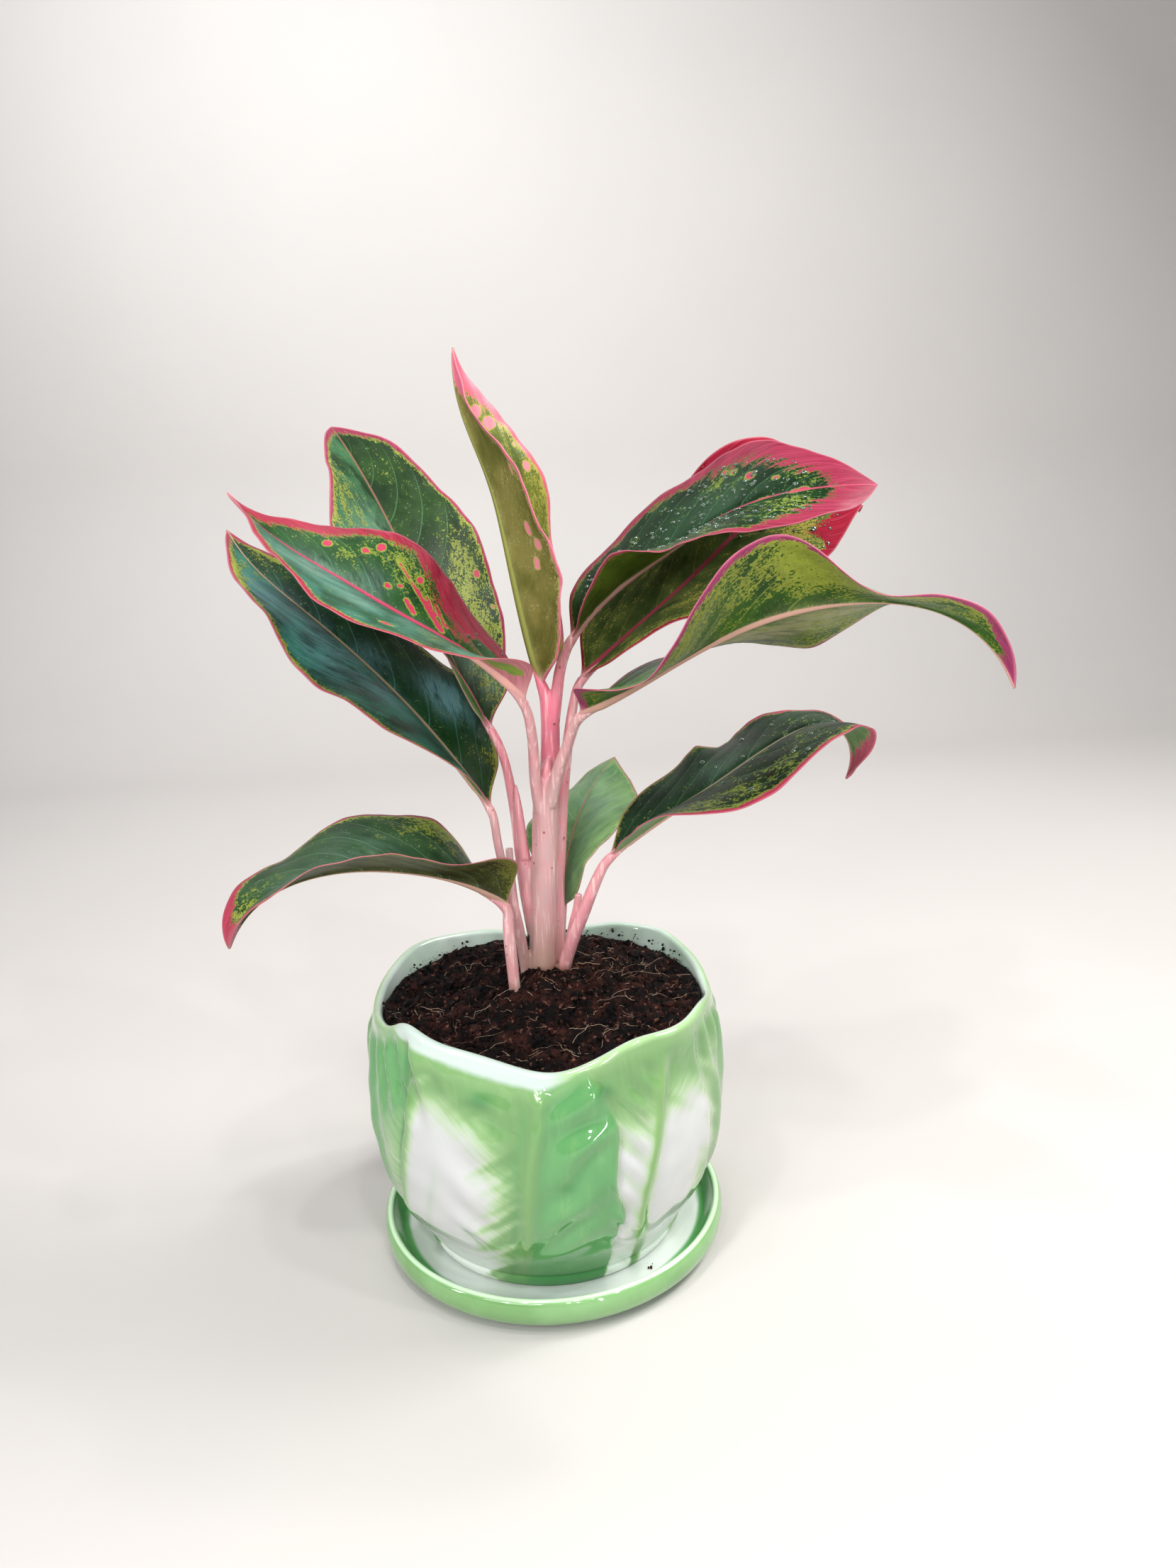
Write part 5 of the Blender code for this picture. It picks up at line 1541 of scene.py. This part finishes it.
class PLANT_OT_pottery(bpy.types.Operator):
    """Make the glazed pot and its saucer."""
    bl_idname = "plant.pottery"
    bl_label = "Pot and saucer"

    def execute(self, context):
        settings = context.scene.plant_pot
        hand_over(make_pot(settings, glaze_finish(settings)), "pot")
        hand_over(make_saucer(saucer_finish(settings)), "saucer")
        return {"FINISHED"}


# Potting mix

SOIL_EDGE_HEIGHT = 90.6
SOIL_CROWN_HEIGHT = 99.0
SOIL_SIDES = 240
SOIL_RINGS = 90
# Stretches of the inner rim with loose crumbs (from, to, top), and a crumb on the saucer
RIM_CRUMBS = ((18.0, 100.0, 94.6), (186.0, 214.0, 95.0), (120.0, 150.0, 93.6))
SAUCER_CRUMB = (31.5, -39.5)


def soil_height(x, y):
    """Lumpy dome of the potting mix, higher at the crown of the plant."""
    r = math.hypot(x, y)
    dome = SOIL_EDGE_HEIGHT + (SOIL_CROWN_HEIGHT - SOIL_EDGE_HEIGHT) * (1 - ramp(r, 4.0, 50.0))
    waves = math.sin(0.31 * x + 1.0) * math.sin(0.27 * y + 0.4)
    waves += 0.6 * math.sin(0.63 * x - 0.5 * y)
    lumps = 1.5 * wander(x, y, 3.0, 0.16) + 1.5 * wander(x, y, 4.0, 0.42)
    lumps += 0.8 * wander(x, y, 5.0, 1.1)
    return dome + (0.7 * waves + lumps) * (1 - 0.6 * ramp(r, 48.0, 55.0))


def soil_ring(radius, sides, lift=0.0):
    """Points on the soil's top round the plant."""
    return [(x, y, soil_height(x, y) + lift) for x, y, _ in ring(radius, 0.0, sides)]


def make_earth(material):
    """The filling with a finely lumped top."""
    edge = cavity_radius(SOIL_EDGE_HEIGHT) - GAP - 0.15
    rows = [[(0.0, 0.0, POT_WALL_BOTTOM + GAP)]]
    for height in (POT_WALL_BOTTOM + GAP, 22.0, 40.0, 66.0, 86.0):
        shrink = 2.6 if height < 20.0 else GAP + 0.25
        rows.append(ring(cavity_radius(height) - shrink, height, SOIL_SIDES))
    for k in range(SOIL_RINGS):
        rows.append(soil_ring(edge * (1.0 - k / SOIL_RINGS), SOIL_SIDES))
    rows.append([(0.0, 0.0, soil_height(0.0, 0.0))])
    return mesh_piece("earth", *lathe(rows), [material])


def soil_bed(radius, lift=0.2):
    """The top of the soil out to a radius."""
    rows = [[(0.0, 0.0, soil_height(0.0, 0.0) + lift)]]
    for k in range(1, 31):
        rows.append(soil_ring(radius * k / 30, 60, lift))
    return plain_mesh("soil bed", *lathe(rows))


def stray_bed():
    """Where loose crumbs cling: the inside of the rim, and one spot on the saucer."""
    vertices = []
    faces = []
    for start, end, top in RIM_CRUMBS:
        steps = 12
        first = len(vertices)
        for k in range(steps + 1):
            turn = math.radians(start + (end - start) * k / steps)
            for height in (90.5, top):
                vertices.append(polar_point(cavity_radius(height) - 0.25, turn, height))
        faces += [(first + 2 * k, first + 2 * k + 2, first + 2 * k + 3, first + 2 * k + 1)
                  for k in range(steps)]
    x, y = SAUCER_CRUMB
    first = len(vertices)
    vertices += [(x + 1.9 * math.cos(a), y + 1.6 * math.sin(a), SAUCER_FLOOR + 0.5)
                 for a in (math.pi * k / 3 for k in range(6))]
    faces.append(tuple(range(first, first + 6)))
    return plain_mesh("stray bed", vertices, faces)


def keep_in_pot(piece):
    """Pull points that would reach into the pot's wall back inside it."""
    places = mesh_points(piece.data)
    limit = (cavity_radius(92.0) - 0.35) * MM
    radius = np.hypot(places[:, 0], places[:, 1])
    at_wall = (radius > limit) & (places[:, 2] > 60.0 * MM)
    places[:, :2] *= np.where(at_wall, limit / np.maximum(radius, 1e-9), 1.0)[:, None]
    piece.data.vertices.foreach_set("co", places.ravel())
    piece.data.update()


def earth_finish(settings):
    """Dark, damp coco peat with reddish flecks; the near-black patches are partly painted shade
    and the reddish flecks partly painted highlights.
    """
    s = Shader("damp peat")
    spot = s.place()
    grain = s.noise(spot, 900.0, 6.0, 0.7)
    clump = s.noise(spot, 160.0, 4.0, 0.6)
    # Near-black patches between the brown are partly the peat's own dark tone and partly painted
    # shade in the hollows.
    earth = s.mix(s.ramp(s.add(s.scale(grain, 0.45), s.scale(clump, 0.55)), 0.47, 0.63),
                  settings.dark, settings.brown)
    # Reddish flecks are partly the peat's own colour and partly painted highlights on the crumbs.
    earth = s.mix(s.ramp(s.noise(spot, 430.0, 4.0), 0.60, 0.70, 0.0, 0.8), earth,
                  "7b5044")
    normal = s.relief(grain, 0.0008, 1.0)
    return s.finish(earth, s.ramp(grain, 0.3, 0.7, 0.5, 0.85), normal, specular=0.14)


def fibre_finish(settings):
    """Dry coir fibre, some of it redder and some nearly white."""
    s = Shader("coir fibre")
    spot = s.place()
    kind = s.noise(spot, 70.0, 2.0)
    colour = s.mix(s.ramp(kind, 0.34, 0.55), "6e3a26", settings.fibre)
    colour = s.mix(s.ramp(s.noise(spot, 1500.0, 2.0), 0.4, 0.7, 0.0, 0.5), colour,
                   "3b2016")
    return s.finish(colour, 0.7, s.relief(s.noise(spot, 3000.0, 2.0), 0.0001, 0.6))


class PLANT_OT_soil(bpy.types.Operator):
    """Fill the pot with coco peat, crumbs and fibres."""
    bl_idname = "plant.soil"
    bl_label = "Potting mix"

    def execute(self, context):
        settings = context.scene.plant_soil
        peat = earth_finish(settings)
        coir = fibre_finish(settings)
        earth = make_earth(peat)
        crumbs = crumb_tree()
        fibres = fibre_tree()
        edge = cavity_radius(SOIL_EDGE_HEIGHT) - 0.8
        grain = grow("crumbs", soil_bed(edge), crumbs, Density=float(settings.crumbs),
                     Size=settings.crumb_size, Seed=3, Material=peat)
        lumps = grow("lumps", soil_bed(edge - 1.0), crumbs, Density=settings.crumbs / 9.0,
                     Size=settings.crumb_size * 2.7, Seed=8, Material=peat)
        strays = grow("stray_crumbs", stray_bed(), crumbs, Density=260000.0,
                      Size=settings.crumb_size * 0.8, Seed=5, Material=peat)
        wisps = grow("fibres", soil_bed(edge - 3.0, 0.5), fibres,
                     Density=settings.fibres / (math.pi * (edge * MM) ** 2), Length=0.016,
                     Curl=0.009, Radius=0.00006, Seed=2, Material=coir)
        roots = grow("roots", soil_bed(edge - 12.0, 1.2), fibres, Density=1700.0, Length=0.046,
                     Curl=0.016, Radius=0.00006, Seed=6, Material=coir)
        for piece in (grain, lumps, wisps, roots):
            keep_in_pot(piece)
        for piece in (earth, grain, lumps, strays, wisps, roots):
            hand_over(piece, "soil")
        return {"FINISHED"}


# Stage

CAMERA_PLACE = (0.0, -369.0, 266.0)
CAMERA_YAW = 2.97
CAMERA_PITCH = 14.98
CAMERA_ROLL = -2.43
SENSOR = 36.0
# Soft lamps: name, place, target, width, height, watts and colour
LAMPS = (
    ("key", (640, 60, 820), (0, 0, 130), 380, 380, 8.4, (1.0, 0.98, 0.95)),
    ("front", (-420, -700, 620), (0, 0, 130), 520, 520, 3.9, (1.0, 0.99, 0.97)),
    ("wall", (-250, 350, 900), (0, 1050, 420), 600, 600, 6.2, (0.98, 0.99, 1.0)),
    ("strip", (330, -760, 190), (0, 0, 60), 26, 330, 0.75, (1.0, 1.0, 1.0)),
    ("pane", (-640, -330, 330), (0, 0, 70), 70, 260, 1.0, (1.0, 1.0, 1.0)),
)
# Places of the small lamps that give the glints
CEILING_SPOTS = ((-260, -420, 900), (120, -520, 900), (430, -330, 900), (560, 60, 880),
                 (-120, -250, 960))
FRONT_SPOTS = ((-150, -600, 430), (50, -640, 440), (210, -560, 460), (330, -420, 480),
               (-300, -480, 330), (130, -700, 300))


def make_lamp(name, place, target, width, height, power, colour=(1.0, 1.0, 1.0)):
    """A soft rectangular lamp that faces its target."""
    data = bpy.data.lights.new(name, "AREA")
    data.shape = "RECTANGLE"
    data.size = width * MM
    data.size_y = height * MM
    data.energy = power
    data.color = colour
    lamp = new_object(name, data)
    lamp.location = Vector(place) * MM
    way = Vector(target) * MM - lamp.location
    lamp.rotation_euler = way.to_track_quat("-Z", "Y").to_euler()


def make_camera(settings):
    """A camera where the photograph was taken from."""
    yaw = math.radians(CAMERA_YAW)
    pitch = math.radians(CAMERA_PITCH)
    roll = math.radians(CAMERA_ROLL)
    forward = Vector((math.sin(yaw) * math.cos(pitch), math.cos(yaw) * math.cos(pitch),
                      -math.sin(pitch)))
    right = Vector((math.cos(yaw), -math.sin(yaw), 0.0))
    up = right.cross(forward)
    across = right * math.cos(roll) + up * math.sin(roll)
    rise = up * math.cos(roll) - right * math.sin(roll)
    turn = Matrix((across, rise, -forward)).transposed()
    data = bpy.data.cameras.new("camera")
    data.sensor_fit = "VERTICAL"
    data.sensor_height = SENSOR
    data.sensor_width = SENSOR
    data.lens = settings.lens
    data.clip_start = 0.01
    camera = new_object("camera", data)
    camera.matrix_world = Matrix.Translation(Vector(CAMERA_PLACE) * MM) @ turn.to_4x4()
    bpy.context.scene.camera = camera


def floor_finish(settings):
    """Plain pale floor with the faintest unevenness."""
    s = Shader("pale floor")
    cloud = s.noise(s.place(), 4.0, 3.0)
    tint = tuple(settings.floor)
    colour = s.mix(s.ramp(cloud, 0.3, 0.7), [c * 0.97 for c in tint], tint)
    return s.finish(colour, 0.55, s.relief(s.noise(s.place(), 300.0, 2.0), 0.0002, 0.2))


def make_floor(material):
    """A floor that curves up into the backdrop."""
    side, bend, corner, top = 3500.0, 300.0, 700.0, 2200.0
    steps = 24
    outline = [(-side, 0.0)]
    outline += [(corner + bend * math.sin(a), bend - bend * math.cos(a))
                for a in (math.pi / 2 * k / steps for k in range(steps + 1))]
    outline.append((corner + bend, top))
    vertices = []
    for y, z in outline:
        vertices += [(-side, y, z), (side, y, z)]
    faces = [(2 * k, 2 * k + 1, 2 * k + 3, 2 * k + 2) for k in range(len(outline) - 1)]
    return mesh_piece("floor", vertices, faces, [material], closed=False)


class PLANT_OT_stage(bpy.types.Operator):
    """Set the floor, the soft light and the camera."""
    bl_idname = "plant.stage"
    bl_label = "Stage"

    def execute(self, context):
        settings = context.scene.plant_stage
        make_floor(floor_finish(settings))
        power = settings.light
        for name, place, target, width, height, watts, colour in LAMPS:
            make_lamp(name, place, target, width, height, watts * power, colour)
        for spot, place in enumerate(CEILING_SPOTS):
            make_lamp("ceiling %d" % (spot + 1), place, (0, 0, 80), 42, 42, 1.3 * power)
        for spot, place in enumerate(FRONT_SPOTS):
            make_lamp("front spot %d" % (spot + 1), place, (0, 0, 30), 24, 24, 0.30 * power)
        world = bpy.data.worlds.new("soft sky")
        world.use_nodes = True
        sky = world.node_tree.nodes["Background"]
        sky.inputs["Color"].default_value = (0.92, 0.95, 1.0, 1.0)
        sky.inputs["Strength"].default_value = 0.27 * power
        context.scene.world = world
        context.scene.view_settings.view_transform = "Standard"
        make_camera(settings)
        return {"FINISHED"}


class PLANT_PT_panel(bpy.types.Panel):
    """Lists the pieces and their settings."""
    bl_label = "Potted aglaonema"
    bl_idname = "PLANT_PT_panel"
    bl_space_type = "VIEW_3D"
    bl_region_type = "UI"
    bl_category = "Plant"

    def draw(self, context):
        for operator, group in STEPS:
            self.layout.operator("plant." + operator)
            settings = getattr(context.scene, group)
            for key in settings.__annotations__:
                self.layout.prop(settings, key)


STEPS = (("stage", "plant_stage"), ("pottery", "plant_pot"), ("soil", "plant_soil"),
         ("stalks", "plant_stalks"), ("leaves", "plant_leaves"), ("drops", "plant_leaves"))
GROUPS = dict(plant_stage=StageSettings, plant_pot=PotSettings, plant_soil=SoilSettings,
              plant_stalks=StalkSettings, plant_leaves=LeafSettings)
CLASSES = (LeafSettings, StalkSettings, PotSettings, SoilSettings, StageSettings,
           PLANT_OT_leaves, PLANT_OT_drops, PLANT_OT_stalks, PLANT_OT_pottery, PLANT_OT_soil,
           PLANT_OT_stage, PLANT_PT_panel)


def register():
    """Add the classes and their settings."""
    for kind in CLASSES:
        bpy.utils.register_class(kind)
    for key, kind in GROUPS.items():
        setattr(bpy.types.Scene, key, PointerProperty(type=kind))


def unregister():
    """Take the classes and their settings away."""
    for key in GROUPS:
        delattr(bpy.types.Scene, key)
    for kind in reversed(CLASSES):
        bpy.utils.unregister_class(kind)


def main():
    """Run every step."""
    register()
    for operator, _ in STEPS:
        getattr(bpy.ops.plant, operator)()


if __name__ == "__main__":
    main()
